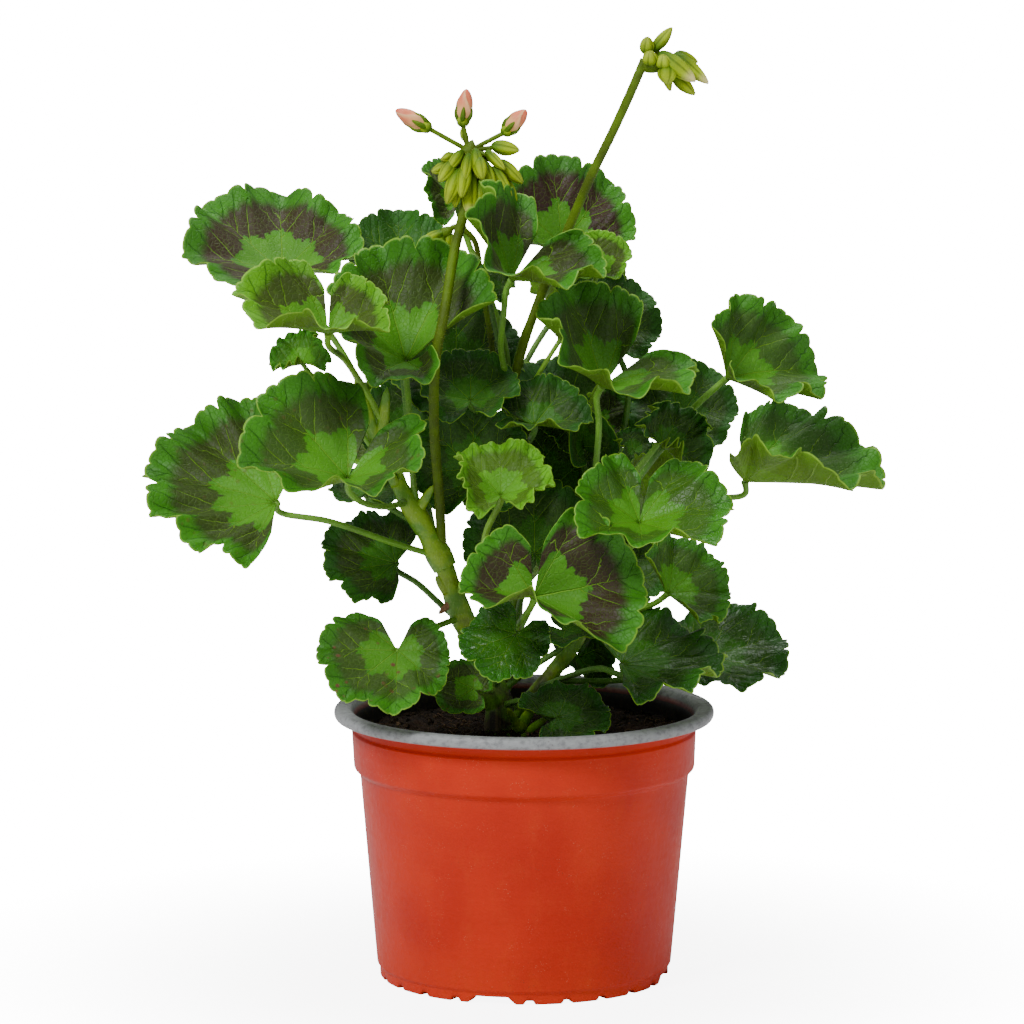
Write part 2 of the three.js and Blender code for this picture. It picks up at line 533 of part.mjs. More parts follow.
// ---- Flower heads ----------------------------------------------------------------------------
// Each bud: where it hangs from its own thin stalk, its point, and its radius.
const PEDICEL = { radius: 0.9, sides: 3 };
const LEFT_HEAD = {
  name: "bud_head_left",
  stalk: [
    [-32, -10, 166], [-33, -14, 190], [-35, -24, 223], [-34, -31, 250], [-31, -30, 265],
    [-27, -18, 289], [-23, -6, 306], [-21, -2, 327],
  ],
  radius: 1.95,
  core: { from: [-23, -3, 322], to: [-20, -1, 331], radius: 3.4 },
  buds: [
    [[-27, -2, 325], [-32.5, -4, 323], 1.5],
    [[-29, -4, 321], [-36, -6, 318.5], 1.7],
    [[-27, -6, 323], [-33, -10, 315], 2],
    [[-25, -7, 320], [-30, -12, 306.5], 2.4],
    [[-22.6, -8, 322], [-24.3, -13, 309], 2.3],
    [[-21.6, -6, 321], [-20.8, -9, 300], 2.6],
    [[-18, -8, 325], [-16, -13, 316], 2],
    [[-17.7, -5, 316], [-14.6, -8, 299.5], 2.5],
    [[-14.6, -4, 319], [-8, -7, 311], 2.3],
    [[-12.3, -3, 316], [-10.7, -5, 305.5], 2.2],
    [[-9, -1, 317], [-3.3, -2, 304], 2.3],
    [[-10.3, -2, 323], [-0.6, -4, 314], 2.2],
    [[-13, -2, 328.7], [-1.8, -3, 326.7], 2.3],
    [[-22.6, -1, 330], [-24.5, 1, 335], 1.2],
    [[-25, 2, 322], [-29, 8, 310], 2.3],
    [[-18, 3, 321], [-16, 9, 307], 2.4],
    [[-13, 2, 320], [-7, 8, 309], 2.2],
  ],
};
// Buds about to open: the calyx belongs to the head, the petals are pieces of their own.
const OPENING_BUDS = [
  { name: "petals_left", base: [-36, -3, 334.6], tip: [-50, -4, 342.5] },
  { name: "petals_middle", base: [-24.2, -1, 335.5], tip: [-22.4, -1, 350.5] },
  { name: "petals_right", base: [-8.5, -1, 332.6], tip: [0.8, -2, 342.4] },
];
const CALYX = { radius: 2.9, share: 0.62 };
const PETALS = { radius: 2.7, start: 0.28 };
const RIGHT_HEAD = {
  name: "bud_head_right",
  stalk: [
    [-4.6, 8, 234], [1, 7, 254], [8, 8, 273], [16.6, 6, 294], [26.3, 2, 317], [34.7, 0, 334.5],
    [42.4, -4, 352], [46.6, -4, 362],
  ],
  radius: 1.8,
  core: { from: [44.5, -4, 358], to: [58, -4, 363.5], radius: 3.6 },
  buds: [
    [[49.4, -4, 365], [57.2, -3, 374.4], 1.9],
    [[47, -5, 364], [47.6, -7, 371], 2.2],
    [[48.6, -6, 360], [48.4, -10, 365.5], 2.3],
    [[53.8, -6, 358.6], [53.6, -9, 364], 2.4],
    [[55.4, -6, 360], [55, -8, 352.6], 2.9],
    [[54.6, -2, 358], [56.6, -2, 349.6], 1.4],
    [[52, -5, 365], [66.2, -7, 353.6], 2.7],
    [[58, -2, 364.5], [71.4, -3, 352.6], 2.2],
    [[58.6, 1, 364.6], [67.4, 2, 360.6], 1.6],
    [[57, -1, 357], [66.2, -2, 348.2], 2.1],
  ],
};
const SMALL_HEAD = {
  name: "bud_head_small",
  stalk: [
    [-5, 10, 214], [-10, 16, 232], [-14, 18, 256], [-17, 16, 276], [-20, 13, 291], [-27, 10, 296],
    [-31, 9, 293],
  ],
  radius: 1.1,
  core: { from: [-28, 9, 296], to: [-34, 8, 291], radius: 2.4 },
  buds: [
    [[-31, 8, 294], [-41, 7, 289], 2],
    [[-31, 8, 292], [-36, 5, 286.6], 1.7],
    [[-29, 9, 294], [-30, 7, 286.6], 1.6],
  ],
};

/** A point on the line between two others. */
const between = (from, to, share) => vector(from).lerp(vector(to), share).toArray();

/** A flower head: its long stalk, its core, and each bud on a thin stalk from the core. */
function headSolid({ stalk, radius, core, buds }, calyxes) {
  const centre = between(core.from, core.to, 0.5);
  const parts = [tube(stalk, radius, STEM_SIDES, stalk.length + 1)];
  parts.push(spindle(core.from, core.to, core.radius, 8, 5));
  const hang = (from, to, budRadius) => {
    const route = [between(centre, from, 0.1), between(from, to, 0.3)];
    parts.push(tube(route, PEDICEL.radius, PEDICEL.sides, 1));
    parts.push(spindle(from, to, budRadius, 5, 4));
  };
  buds.forEach(([from, to, budRadius]) => hang(from, to, budRadius));
  calyxes.forEach(({ base, tip }) => hang(base, between(base, tip, CALYX.share), CALYX.radius));
  return joined(parts);
}

/** The furled petals that stand out of a calyx, held clear of it. */
function petalSolid({ base, tip }) {
  const petals = spindle(between(base, tip, PETALS.start), tip, PETALS.radius, 8, 6);
  const calyx = spindle(
    between(base, tip, -0.02),
    between(base, tip, CALYX.share + 0.02),
    CALYX.radius + CLEARANCE,
    8,
    6,
  );
  return largestBody(petals.subtract(calyx));
}

// ---- The whole plant -------------------------------------------------------------------------
const stemRoom = stemSolid(CLEARANCE);
const plant = new THREE.Group();
plant.add(meshOf("stem", stemSolid(0), BARK));
LEAVES.forEach((leaf) => {
  const solid = largestBody(leafSolid(leaf).subtract(stemRoom));
  plant.add(meshOf(leaf.name, solid, LEAF_TONES[leaf.tone]));
});

const heads = new THREE.Group();
[[LEFT_HEAD, OPENING_BUDS], [RIGHT_HEAD, []], [SMALL_HEAD, []]].forEach(([head, calyxes]) => {
  const solid = largestBody(headSolid(head, calyxes).subtract(stemRoom));
  heads.add(meshOf(head.name, solid, BUD_GREEN));
});
OPENING_BUDS.forEach((bud) => heads.add(meshOf(bud.name, petalSolid(bud), PETAL_PINK)));

const potGroup = new THREE.Group();
potGroup.add(meshOf("pot", makePot(), RED), meshOf("soil", makeSoil(stemRoom), PEAT));

const geranium = new THREE.Group();
geranium.name = "potted_geranium";
geranium.add(potGroup, plant, heads);
geranium.position.set(POT_AXIS.x, POT_AXIS.y, 0);

export default geranium;
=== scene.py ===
"""Potted zonal geranium: the finished surfaces of the pot, peat, stem, leaves and flower heads.

Lengths are millimetres and places are measured from the pot's axis and the floor, as a grower would
measure the plant. Meshes, materials and studio are in metres, +Z up, the plant's front towards -Y.
"""

import enum
import logging
import math
from dataclasses import dataclass, field
from typing import Callable, Optional, Sequence

import bpy
import numpy as np
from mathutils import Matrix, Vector


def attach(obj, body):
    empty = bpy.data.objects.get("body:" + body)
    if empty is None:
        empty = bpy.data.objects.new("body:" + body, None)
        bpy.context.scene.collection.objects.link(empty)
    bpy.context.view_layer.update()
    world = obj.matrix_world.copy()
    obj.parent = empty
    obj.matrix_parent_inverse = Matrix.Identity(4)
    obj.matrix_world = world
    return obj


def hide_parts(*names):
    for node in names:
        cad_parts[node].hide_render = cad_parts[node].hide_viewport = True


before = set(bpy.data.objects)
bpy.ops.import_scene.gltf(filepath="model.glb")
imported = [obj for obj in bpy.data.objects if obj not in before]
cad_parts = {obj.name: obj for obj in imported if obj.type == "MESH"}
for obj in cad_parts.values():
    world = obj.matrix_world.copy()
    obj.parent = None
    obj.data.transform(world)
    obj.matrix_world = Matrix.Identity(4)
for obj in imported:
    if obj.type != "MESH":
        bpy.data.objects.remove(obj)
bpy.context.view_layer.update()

MM = 0.001
POT_AXIS = np.array([0.0036, 0.0011, 0.0])  # metres from the origin to the pot's axis
ROOT = "root"
TURN = 2 * math.pi
HAIR_RADIUS = 0.045  # mm at the hair's foot
HAIR_SUNK = 0.1  # mm below the skin
HAIR_LEAN = 0.35  # how far a hair's direction strays, as a share of its length
log = logging.getLogger("geranium")

Array = np.ndarray
Point = tuple[float, float, float]
Colour = tuple[float, float, float, float]
Material = bpy.types.Material
Tree = bpy.types.NodeTree
Socket = bpy.types.NodeSocket
Feed = Socket | float | tuple[float, ...]


def smooth(low: float, high: float, value: Array) -> Array:
    """Soft step from 0 at low to 1 at high: 3 t squared less 2 t cubed.

    Args:
        low: Where the step starts.
        high: Where the step ends.
        value: The values to test.

    Returns:
        The step's height at each value.
    """
    share = np.clip((value - low) / (high - low), 0, 1)
    return share * share * (3 - 2 * share)


def unit(vectors: Array) -> Array:
    """Vectors along the last axis, each made one long."""
    return vectors / np.linalg.norm(vectors, axis=-1, keepdims=True)


def lengths_along(path: Array) -> Array:
    """How far along a path each of its points lies."""
    return np.concatenate([[0], np.cumsum(np.linalg.norm(np.diff(path, axis=0), axis=1))])


def grid_uv(across: Array, along: Array) -> Array:
    """UVs of a grid: U is each column's place across it, V is each row's place along it."""
    return np.stack(np.broadcast_arrays(across[None, :], along[:, None]), axis=2)


# ---- Mesh making ----
@dataclass
class Patch:
    """Vertices and faces of one stretch of surface, with its UVs and painted values per vertex.

    A face has four vertex numbers; a triangle's fourth is -1.
    """

    points: Array
    faces: Array
    uv: Array
    paint: dict[str, Array] = field(default_factory=dict)
    slot: int = 0


def grid_faces(rows: int, columns: int, wrap_rows: bool, wrap_columns: bool) -> Array:
    """Quads of a grid of rows by columns vertices.

    Args:
        rows: Vertices along the first direction.
        columns: Vertices along the second direction.
        wrap_rows: Whether the last row joins the first.
        wrap_columns: Whether the last column joins the first.

    Returns:
        An array of four vertex numbers a quad.
    """
    row = np.arange(rows if wrap_rows else rows - 1)
    column = np.arange(columns if wrap_columns else columns - 1)
    near, left = np.meshgrid(row, column, indexing="ij")
    far = (near + 1) % rows
    right = (left + 1) % columns
    corners = ((near, left), (near, right), (far, right), (far, left))
    return np.stack([(along * columns + across).ravel() for along, across in corners], axis=1)


def surface_patch(points: Array, uv: Array, wrap_columns: bool = False) -> Patch:
    """A patch from a grid of points.

    Args:
        points: Rows by columns by 3 positions in metres.
        uv: Rows by columns by 2 coordinates along the surface.
        wrap_columns: Whether the last column joins the first.

    Returns:
        The patch.
    """
    rows, columns = points.shape[:2]
    faces = grid_faces(rows, columns, False, wrap_columns)
    return Patch(points.reshape(-1, 3), faces, uv.reshape(-1, 2))


def with_poles(patch: Patch, columns: int, first: Array, last: Array) -> Patch:
    """Closes both ends of a patch that runs around an axis, with a fan of triangles to each pole.

    Args:
        patch: A patch whose columns join up, first and last row still open.
        columns: Vertices in each row.
        first: Position of the pole before the first row, in metres.
        last: Position of the pole after the last row, in metres.

    Returns:
        The same patch.
    """
    count = len(patch.points)
    near = np.arange(columns)
    far = (near + 1) % columns
    end = count - columns
    none = np.full(columns, -1)
    low = np.stack([np.full(columns, count), far, near, none], axis=1)
    high = np.stack([np.full(columns, count + 1), end + near, end + far, none], axis=1)
    patch.points = np.vstack([patch.points, first, last])
    patch.faces = np.concatenate([patch.faces, low, high])
    patch.uv = np.vstack([patch.uv, patch.uv[0], patch.uv[count - 1]])
    return patch


def painted(patch: Patch, **values: float | Array) -> Patch:
    """Adds painted values to a patch.

    Args:
        patch: The patch.
        values: A number, or a number for each vertex, under each painted name.

    Returns:
        The same patch.
    """
    count = len(patch.points)
    for name, value in values.items():
        flat = np.asarray(value, float).reshape(-1)
        patch.paint[name] = np.broadcast_to(flat, (count,)).copy()
    return patch


def joined_mesh(
    name: str, patches: Sequence[Patch], materials: Sequence[Material]
) -> bpy.types.Mesh:
    """Joins patches into one smooth-shaded mesh.

    Args:
        name: The mesh's name.
        patches: The surfaces it is made of, measured from the pot's axis.
        materials: The materials in slot order.

    Returns:
        The mesh, measured from the origin.
    """
    starts = np.cumsum([0] + [len(patch.points) for patch in patches])
    points = np.concatenate([patch.points for patch in patches]) + POT_AXIS
    faces = np.concatenate([
        np.where(patch.faces < 0, -1, patch.faces + start)
        for patch, start in zip(patches, starts)
    ])
    slots = np.concatenate([np.full(len(patch.faces), patch.slot) for patch in patches])
    uv = np.concatenate([patch.uv for patch in patches])
    mesh = bpy.data.meshes.new(name)
    corners = faces[faces >= 0].astype(np.int32)
    sides = (faces >= 0).sum(axis=1).astype(np.int32)
    loop_starts = np.concatenate([[0], np.cumsum(sides)[:-1]]).astype(np.int32)
    mesh.vertices.add(len(points))
    mesh.vertices.foreach_set("co", points.astype(np.float32).ravel())
    mesh.loops.add(len(corners))
    mesh.loops.foreach_set("vertex_index", corners)
    mesh.polygons.add(len(faces))
    mesh.polygons.foreach_set("loop_start", loop_starts)
    mesh.polygons.foreach_set("use_smooth", np.ones(len(faces), bool))
    mesh.polygons.foreach_set("material_index", slots.astype(np.int32))
    layer = mesh.uv_layers.new(name="surface")
    layer.data.foreach_set("uv", uv[corners].astype(np.float32).ravel())
    for label in sorted({label for patch in patches for label in patch.paint}):
        values = [patch.paint.get(label, np.zeros(len(patch.points))) for patch in patches]
        attribute = mesh.attributes.new(label, "FLOAT", "POINT")
        attribute.data.foreach_set("value", np.concatenate(values).astype(np.float32))
    for material in materials:
        mesh.materials.append(material)
    mesh.update(calc_edges=True)
    mesh.validate()
    return mesh


def add_piece(
    name: str, node: str, slot: str, patches: Sequence[Patch], *materials: Material
) -> None:
    """Makes a finished piece and puts it in a node's place on the one body.

    Args:
        name: The piece's name.
        node: The node that it stands for.
        slot: The material slot that its finish belongs to; not used.
        patches: The surfaces it is made of.
        materials: Its finishes, in the order of the patches' slots.
    """
    piece = bpy.data.objects.new(name, joined_mesh(name, patches, materials))
    bpy.context.scene.collection.objects.link(piece)
    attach(piece, ROOT)
    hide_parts(node)
    log.info("%s: %d vertices, stands for %s", piece.name, len(piece.data.vertices), node)


# ---- Curves and tubes ----
def curve_through(points: Sequence[Sequence[float]], count: int) -> Array:
    """A smooth centripetal Catmull-Rom curve through points.

    Each stretch is a cubic whose end slopes come from the neighbouring points, weighted by the
    square root of their distances; past the ends the next point is mirrored.

    Args:
        points: Points to pass through.
        count: Number of points returned, even in the curve's own parameter.

    Returns:
        Count by 3 positions.
    """
    knots = np.asarray(points, float)
    padded = np.vstack([2 * knots[0] - knots[1], knots, 2 * knots[-1] - knots[-2]])
    steps = np.linspace(0, len(knots) - 1, count)
    stretch = np.minimum(steps.astype(int), len(knots) - 2)
    share = (steps - stretch)[:, None]
    before, start, end, after = (padded[stretch + offset] for offset in range(4))
    gap_before, gap, gap_after = (
        np.maximum(np.linalg.norm(step, axis=1, keepdims=True), 1e-9) ** 0.5
        for step in (start - before, end - start, after - end)
    )
    slope = (end - start) / gap
    leave = (start - before) / gap_before - (end - before) / (gap_before + gap) + slope
    arrive = slope - (after - start) / (gap + gap_after) + (after - end) / gap_after
    leave, arrive = leave * gap, arrive * gap
    cubic = 2 * start - 2 * end + leave + arrive
    square = -3 * start + 3 * end - 2 * leave - arrive
    return ((cubic * share + square) * share + leave) * share + start


def tube_patch(path: Array, radii: Array, sides: int) -> Patch:
    """A round tube carried along a path, closed at both ends.

    At each point of the path a ring of the given radius stands square to the path; each ring's
    first side is square to one fixed direction. A fan of triangles closes each end.

    Args:
        path: Positions along the middle.
        radii: Radius at each position.
        sides: Number of sides.

    Returns:
        The tube; its V runs along it.
    """
    tangent = unit(np.gradient(path, axis=0))
    steep = abs(tangent[:, 1]).mean() >= 0.8
    helper = np.array([1.0, 0.0, 0.0]) if steep else np.array([0.0, 1.0, 0.0])
    side = unit(np.cross(np.broadcast_to(helper, tangent.shape), tangent))
    other = np.cross(tangent, side)
    turn = np.linspace(0, TURN, sides, endpoint=False)
    around = (
        side[:, None] * np.cos(turn)[None, :, None] + other[:, None] * np.sin(turn)[None, :, None]
    )
    rings = path[:, None] + around * radii[:, None, None]
    uv = grid_uv(turn / TURN, lengths_along(path))
    patch = surface_patch(rings * MM, uv, wrap_columns=True)
    return with_poles(patch, sides, path[0] * MM, path[-1] * MM)


def spindle_patch(
    start: Sequence[float], end: Sequence[float], radius: float, sides: int = 20, rings: int = 14,
    blunt: float = 1.0,
) -> Patch:
    """A bud-like body of revolution between two points.

    The radius at a share s of the length is the given radius times sin(pi s) to the power blunt,
    moved a little towards the start so that the free end tapers.

    Args:
        start: Where the body hangs from.
        end: Its point.
        radius: Largest radius.
        sides: Number of sides.
        rings: Number of rings.
        blunt: Below 1 the body is blunter, above 1 it is more pointed.

    Returns:
        The closed body; its V runs from 0 at the start to 1 at the point.
    """
    share = (1 - np.cos(np.linspace(0, math.pi, rings))) / 2
    path = np.asarray(start, float) + np.outer(share, np.subtract(end, start))
    fat = np.sin(math.pi * np.clip(share, 0, 1) ** 0.85) ** blunt
    body = tube_patch(path, np.maximum(fat, 0.02) * radius, sides)
    return with_shares(body, share, sides)


def with_shares(tube: Patch, share: Array, sides: int, scale: float = 1.0) -> Patch:
    """Makes a tube's V run by shares of its length.

    Args:
        tube: The tube.
        share: The share at each ring.
        sides: Its number of sides.
        scale: V at its end.

    Returns:
        The same tube.
    """
    tube.uv[:, 1] = scale * np.concatenate([np.repeat(share, sides), [0, 1]])
    return tube


def down_patch(tube: Patch, sides: int, count: int, length: float, seed: int) -> Patch:
    """Short soft hairs that stand out of a tube, each a closed three-sided spike.

    A hair's foot is a random spot between two neighbouring vertices of a ring. It points away from
    the ring's middle, leaning a little at random.

    Args:
        tube: The tube or bud that carries the hairs.
        sides: Its number of sides.
        count: Number of hairs.
        length: Usual length.
        seed: Number that picks the hairs.

    Returns:
        The hairs, painted with hair.
    """
    chance = np.random.default_rng(seed)
    rings = tube.points[:-2].reshape(-1, sides, 3)
    row = chance.integers(1, len(rings) - 1, count)
    column = chance.integers(0, sides, count)
    share = chance.uniform(0, 1, (count, 1))
    foot = rings[row, column] * (1 - share) + rings[row, (column + 1) % sides] * share
    out = unit(foot - rings.mean(axis=1)[row])
    aim = unit(out + chance.normal(0, HAIR_LEAN, (count, 3)))
    side = unit(np.cross(aim, (0.3, 0.5, 0.81)))
    other = np.cross(aim, side)
    turn = (TURN * np.arange(3) / 3)[None, :, None]
    ring = side[:, None] * np.cos(turn) + other[:, None] * np.sin(turn)
    base = (foot - HAIR_SUNK * MM * out)[:, None] + HAIR_RADIUS * MM * ring
    tip = foot + aim * length * MM * chance.uniform(0.5, 1.2, (count, 1))
    points = np.concatenate([base, tip[:, None]], axis=1).reshape(-1, 3)
    spike = np.array([[0, 1, 3, -1], [1, 2, 3, -1], [2, 0, 3, -1], [2, 1, 0, -1]])
    starts = np.where(spike < 0, 0, 4)[None] * np.arange(count)[:, None, None]
    faces = (spike[None] + starts).reshape(-1, 4)
    return painted(Patch(points, faces, np.zeros((4 * count, 2)), {}, tube.slot), hair=1)


def sheet_patch(middle: Array, uv: Array, thickness: Array) -> Patch:
    """A thin closed sheet around a middle surface.

    The middle surface is moved half the thickness each way along its normal, which is the cross
    product of its two grid directions; walls close it along all four sides.

    Args:
        middle: Rows by columns by 3 positions of the middle surface.
        uv: Rows by columns by 2 coordinates.
        thickness: Thickness for each row.

    Returns:
        The sheet, painted with under, which is 1 on the lower face.
    """
    along = np.gradient(middle, axis=0)
    across = np.gradient(middle, axis=1)
    normal = np.cross(across, along)
    normal /= np.maximum(np.linalg.norm(normal, axis=2, keepdims=True), 1e-9)
    lift = normal * (thickness / 2)[:, None, None]
    grid = np.concatenate([middle + lift, (middle - lift)[::-1]])
    rows, columns = middle.shape[:2]
    patch = surface_patch(grid * MM, np.concatenate([uv, uv[::-1]]))
    quads = grid_faces(2 * rows, columns, True, False)
    left = np.arange(rows - 1) * columns
    mirror = (2 * rows - 1 - np.arange(rows)) * columns
    low_wall = np.stack([left, left + columns, mirror[1:], mirror[:-1]], axis=1)
    high_wall = np.stack([left + columns, left, mirror[:-1], mirror[1:]], axis=1) + columns - 1
    patch.faces = np.concatenate([quads, low_wall, high_wall])
    under = np.repeat(np.concatenate([np.zeros(rows), np.ones(rows)]), columns)
    return painted(patch, under=under)


# ---- Leaves ----
class Age(enum.Enum):
    """How old a leaf is and how much light it gets, which sets its colour from -1 to 1."""

    LIGHT = 0.55
    MID = 0.0
    DARK = -0.6


@dataclass(frozen=True)
class Leaf:
    """One leaf: where it stands, how its blade is shaped, and its stalk.

    Angles are in degrees; headings run clockwise from up in the blade.

    at: where the stalk meets the blade. faces: azimuth from the front and elevation of the upper
    face. reach: from there to the tip. stalk: points of the stalk from the stem up. cone: rise of
    the blade. tip: heading of the tip. sinus: half of the open angle beside the stalk. fold: its
    amount, and the heading that stays low. lean: longer by this share, towards this heading. wave,
    pleat and ruffle: soft waves, tilt of each lobe and small ripples at the margin. zone: strength
    of the dark horseshoe band. gloss and specks: how shiny and how specked it is, 0 to 1.
    """

    name: str
    at: Point
    faces: tuple[float, float]
    reach: float
    stalk: tuple[Point, ...]
    cone: float = 25
    tip: float = 0
    sinus: float = 12
    fold: tuple[float, float] = (0, 0)
    lean: tuple[float, float] = (0, 0)
    wave: float = 4
    pleat: float = 5
    lobes: int = 7
    stalk_radius: float = 1.3
    age: Age = Age.MID
    zone: float = 0.8
    gloss: float = 0.0
    specks: float = 0.0
    ruffle: float = 1.6


@dataclass
class Blade:
    """The middle surface of a leaf's blade, as formulas over a share of the reach and a place along
    the margin from 0 to 1. Cuts and spreads are shares of the reach."""

    leaf: Leaf
    seed: int
    lobe_cut: float = 0.065
    tooth_cut: float = 0.03
    lobe_spread: float = 0.035
    corner_cut: float = 0.32
    corner_width: float = 0.055
    base_share: float = 0.76
    teeth: int = 5
    ripples: float = 2.5

    def __post_init__(self) -> None:
        """Works out the blade's own directions."""
        azimuth, elevation = np.radians(self.leaf.faces)
        side, front = np.sin(azimuth), -np.cos(azimuth)
        flat, rise = np.cos(elevation), np.sin(elevation)
        self.normal = np.array([side * flat, front * flat, rise])
        self.up = np.array([-side * rise, -front * rise, flat])
        self.right = np.array([-front, side, 0.0])
        self.phases = [TURN * ((share * self.seed) % 1) for share in (0.37, 0.81)]
        self.chance = np.random.default_rng(1000 + self.seed)

    def margin(self, place: Array) -> Array:
        """Reach of the margin at a place, as a share of the leaf's reach.

        A round outline that is shortest beside the stalk, less a narrow notch between lobes and a
        small round scallop for each tooth; each lobe is a few percent longer or shorter, and the
        two corners beside the stalk are rounded off.

        Args:
            place: Places along the margin, 0 to 1.

        Returns:
            The shares.
        """
        lobes = self.leaf.lobes
        bulge = (0.5 + 0.5 * np.cos(TURN * (place - 0.5))) ** 0.6
        outline = self.base_share + (1 - self.base_share) * bulge
        in_lobe = np.abs(2 * ((place * lobes) % 1) - 1)
        in_lobe[place >= 1] = 1
        in_tooth = np.abs(2 * ((place * lobes * self.teeth) % 1) - 1)
        scallop = 1 - np.sqrt(np.maximum(1 - 0.98 * in_tooth**2, 0))
        lengths = 1 + self.chance.uniform(-self.lobe_spread, self.lobe_spread, lobes + 1)
        lobe = np.minimum((place * lobes).astype(int), lobes - 1)
        own = 1 + (lengths[lobe] - 1) * (1 - in_lobe**4)
        beside = smooth(0, self.corner_width, np.minimum(place, 1 - place))
        corner = 1 - self.corner_cut * (1 - beside)
        cuts = 1 - self.lobe_cut * in_lobe**12 - self.tooth_cut * scallop
        return outline * corner * own * cuts

    def points(self, share: Array, place: Array) -> Array:
        """Positions of the middle surface.

        Each ray from the stalk rises by the cone angle, less the fold, plus soft waves and a tilt
        of each lobe that grow outwards; near the margin small ripples are added.

        Args:
            share: Rows of shares of the reach.
            place: Columns of places along the margin.

        Returns:
            Rows by columns by 3 positions.
        """
        leaf = self.leaf
        span = 2 * (math.pi - np.radians(leaf.sinus))
        heading = np.radians(leaf.tip) + span * (place - 0.5)
        fold = leaf.fold[0] * np.cos(2 * (heading - np.radians(leaf.fold[1])))
        waves = np.sin(2 * heading + self.phases[0]) + np.sin(3 * heading + self.phases[1])
        pleat = leaf.pleat * np.cos(TURN * leaf.lobes * place)
        count = TURN * leaf.lobes * self.ripples
        ripple = leaf.ruffle * np.sin(count * place + self.phases[1])
        grown = share[:, None]
        swing = grown * (leaf.wave * waves + pleat) + grown**4 * ripple
        rise = np.radians(leaf.cone - fold + swing)
        lean = 1 + leaf.lean[0] * np.cos(heading - np.radians(leaf.lean[1]))
        radial = leaf.reach * lean * self.margin(place) * grown
        outward = radial * np.cos(rise)
        return (
            np.asarray(leaf.at)
            + (outward * np.cos(heading))[..., None] * self.up
            + (outward * np.sin(heading))[..., None] * self.right
            + (radial * np.sin(rise))[..., None] * self.normal
        )


@dataclass
class LeafMaker:
    """Makes leaves as finished pieces: a thin blade with a toothed margin, and its stalk."""

    columns_a_tooth: int = 6
    rows: int = 27
    first: float = 0.02
    thickness: float = 0.55
    edge_thickness: float = 0.22
    edge_share: float = 0.985
    shaded_zone: float = 0.45
    stalk_share: float = 0.95
    stalk_sides: int = 14
    stalk_steps: int = 44
    stalk_hairs: int = 220
    hair_length: float = 0.7

    def blade(self, leaf: Leaf, seed: int) -> Patch:
        """The blade as a closed sheet, painted for its material.

        Args:
            leaf: The leaf.
            seed: Its number, for its waves.

        Returns:
            The blade; U counts lobes along the margin and V is the share of the reach.
        """
        surface = Blade(leaf, seed)
        columns = leaf.lobes * surface.teeth * self.columns_a_tooth + 1
        place = np.linspace(0, 1, columns)
        share = self.first + (1 - self.first) * np.linspace(0, 1, self.rows) ** 0.8
        points = surface.points(share, place)
        uv = grid_uv(place * leaf.lobes, share)
        thickness = np.where(share < self.edge_share, self.thickness, self.edge_thickness)
        zone = leaf.zone * (self.shaded_zone if leaf.age is Age.DARK else 1)
        looks = {"zone": zone, "gloss": leaf.gloss, "specks": leaf.specks}
        return painted(sheet_patch(points, uv, thickness), tone=leaf.age.value, **looks)

    def stalk(self, leaf: Leaf) -> Patch:
        """The stalk: it swells where it leaves the stem and under the blade.

        Args:
            leaf: The leaf.

        Returns:
            The stalk in the second material slot.
        """
        normal = Blade(leaf, 0).normal
        at = np.asarray(leaf.at, float)
        ends = (at - normal * leaf.reach * 0.12, at + normal * 0.2)
        path = curve_through([*leaf.stalk, *ends], self.stalk_steps)
        share = np.linspace(0, 1, self.stalk_steps)
        swell = 1 + 0.45 * (1 - smooth(0, 0.12, share)) + 0.25 * smooth(0.9, 0.97, share)
        radii = leaf.stalk_radius * swell * self.stalk_share
        stalk = painted(tube_patch(path, radii, self.stalk_sides), tone=leaf.age.value)
        stalk.slot = 1
        return stalk

    def make(self, leaf: Leaf, seed: int, *finishes: Material) -> None:
        """Builds a leaf.

        Args:
            leaf: The leaf.
            seed: Its number, for its waves and hairs.
            finishes: The finishes of the blade and of the stalk.
        """
        stalk = self.stalk(leaf)
        hairs = down_patch(stalk, self.stalk_sides, self.stalk_hairs, self.hair_length, seed)
        patches = [self.blade(leaf, seed), stalk, painted(hairs, tone=leaf.age.value)]
        add_piece("blade_" + leaf.name, "leaf_" + leaf.name, "leaf", patches, *finishes)


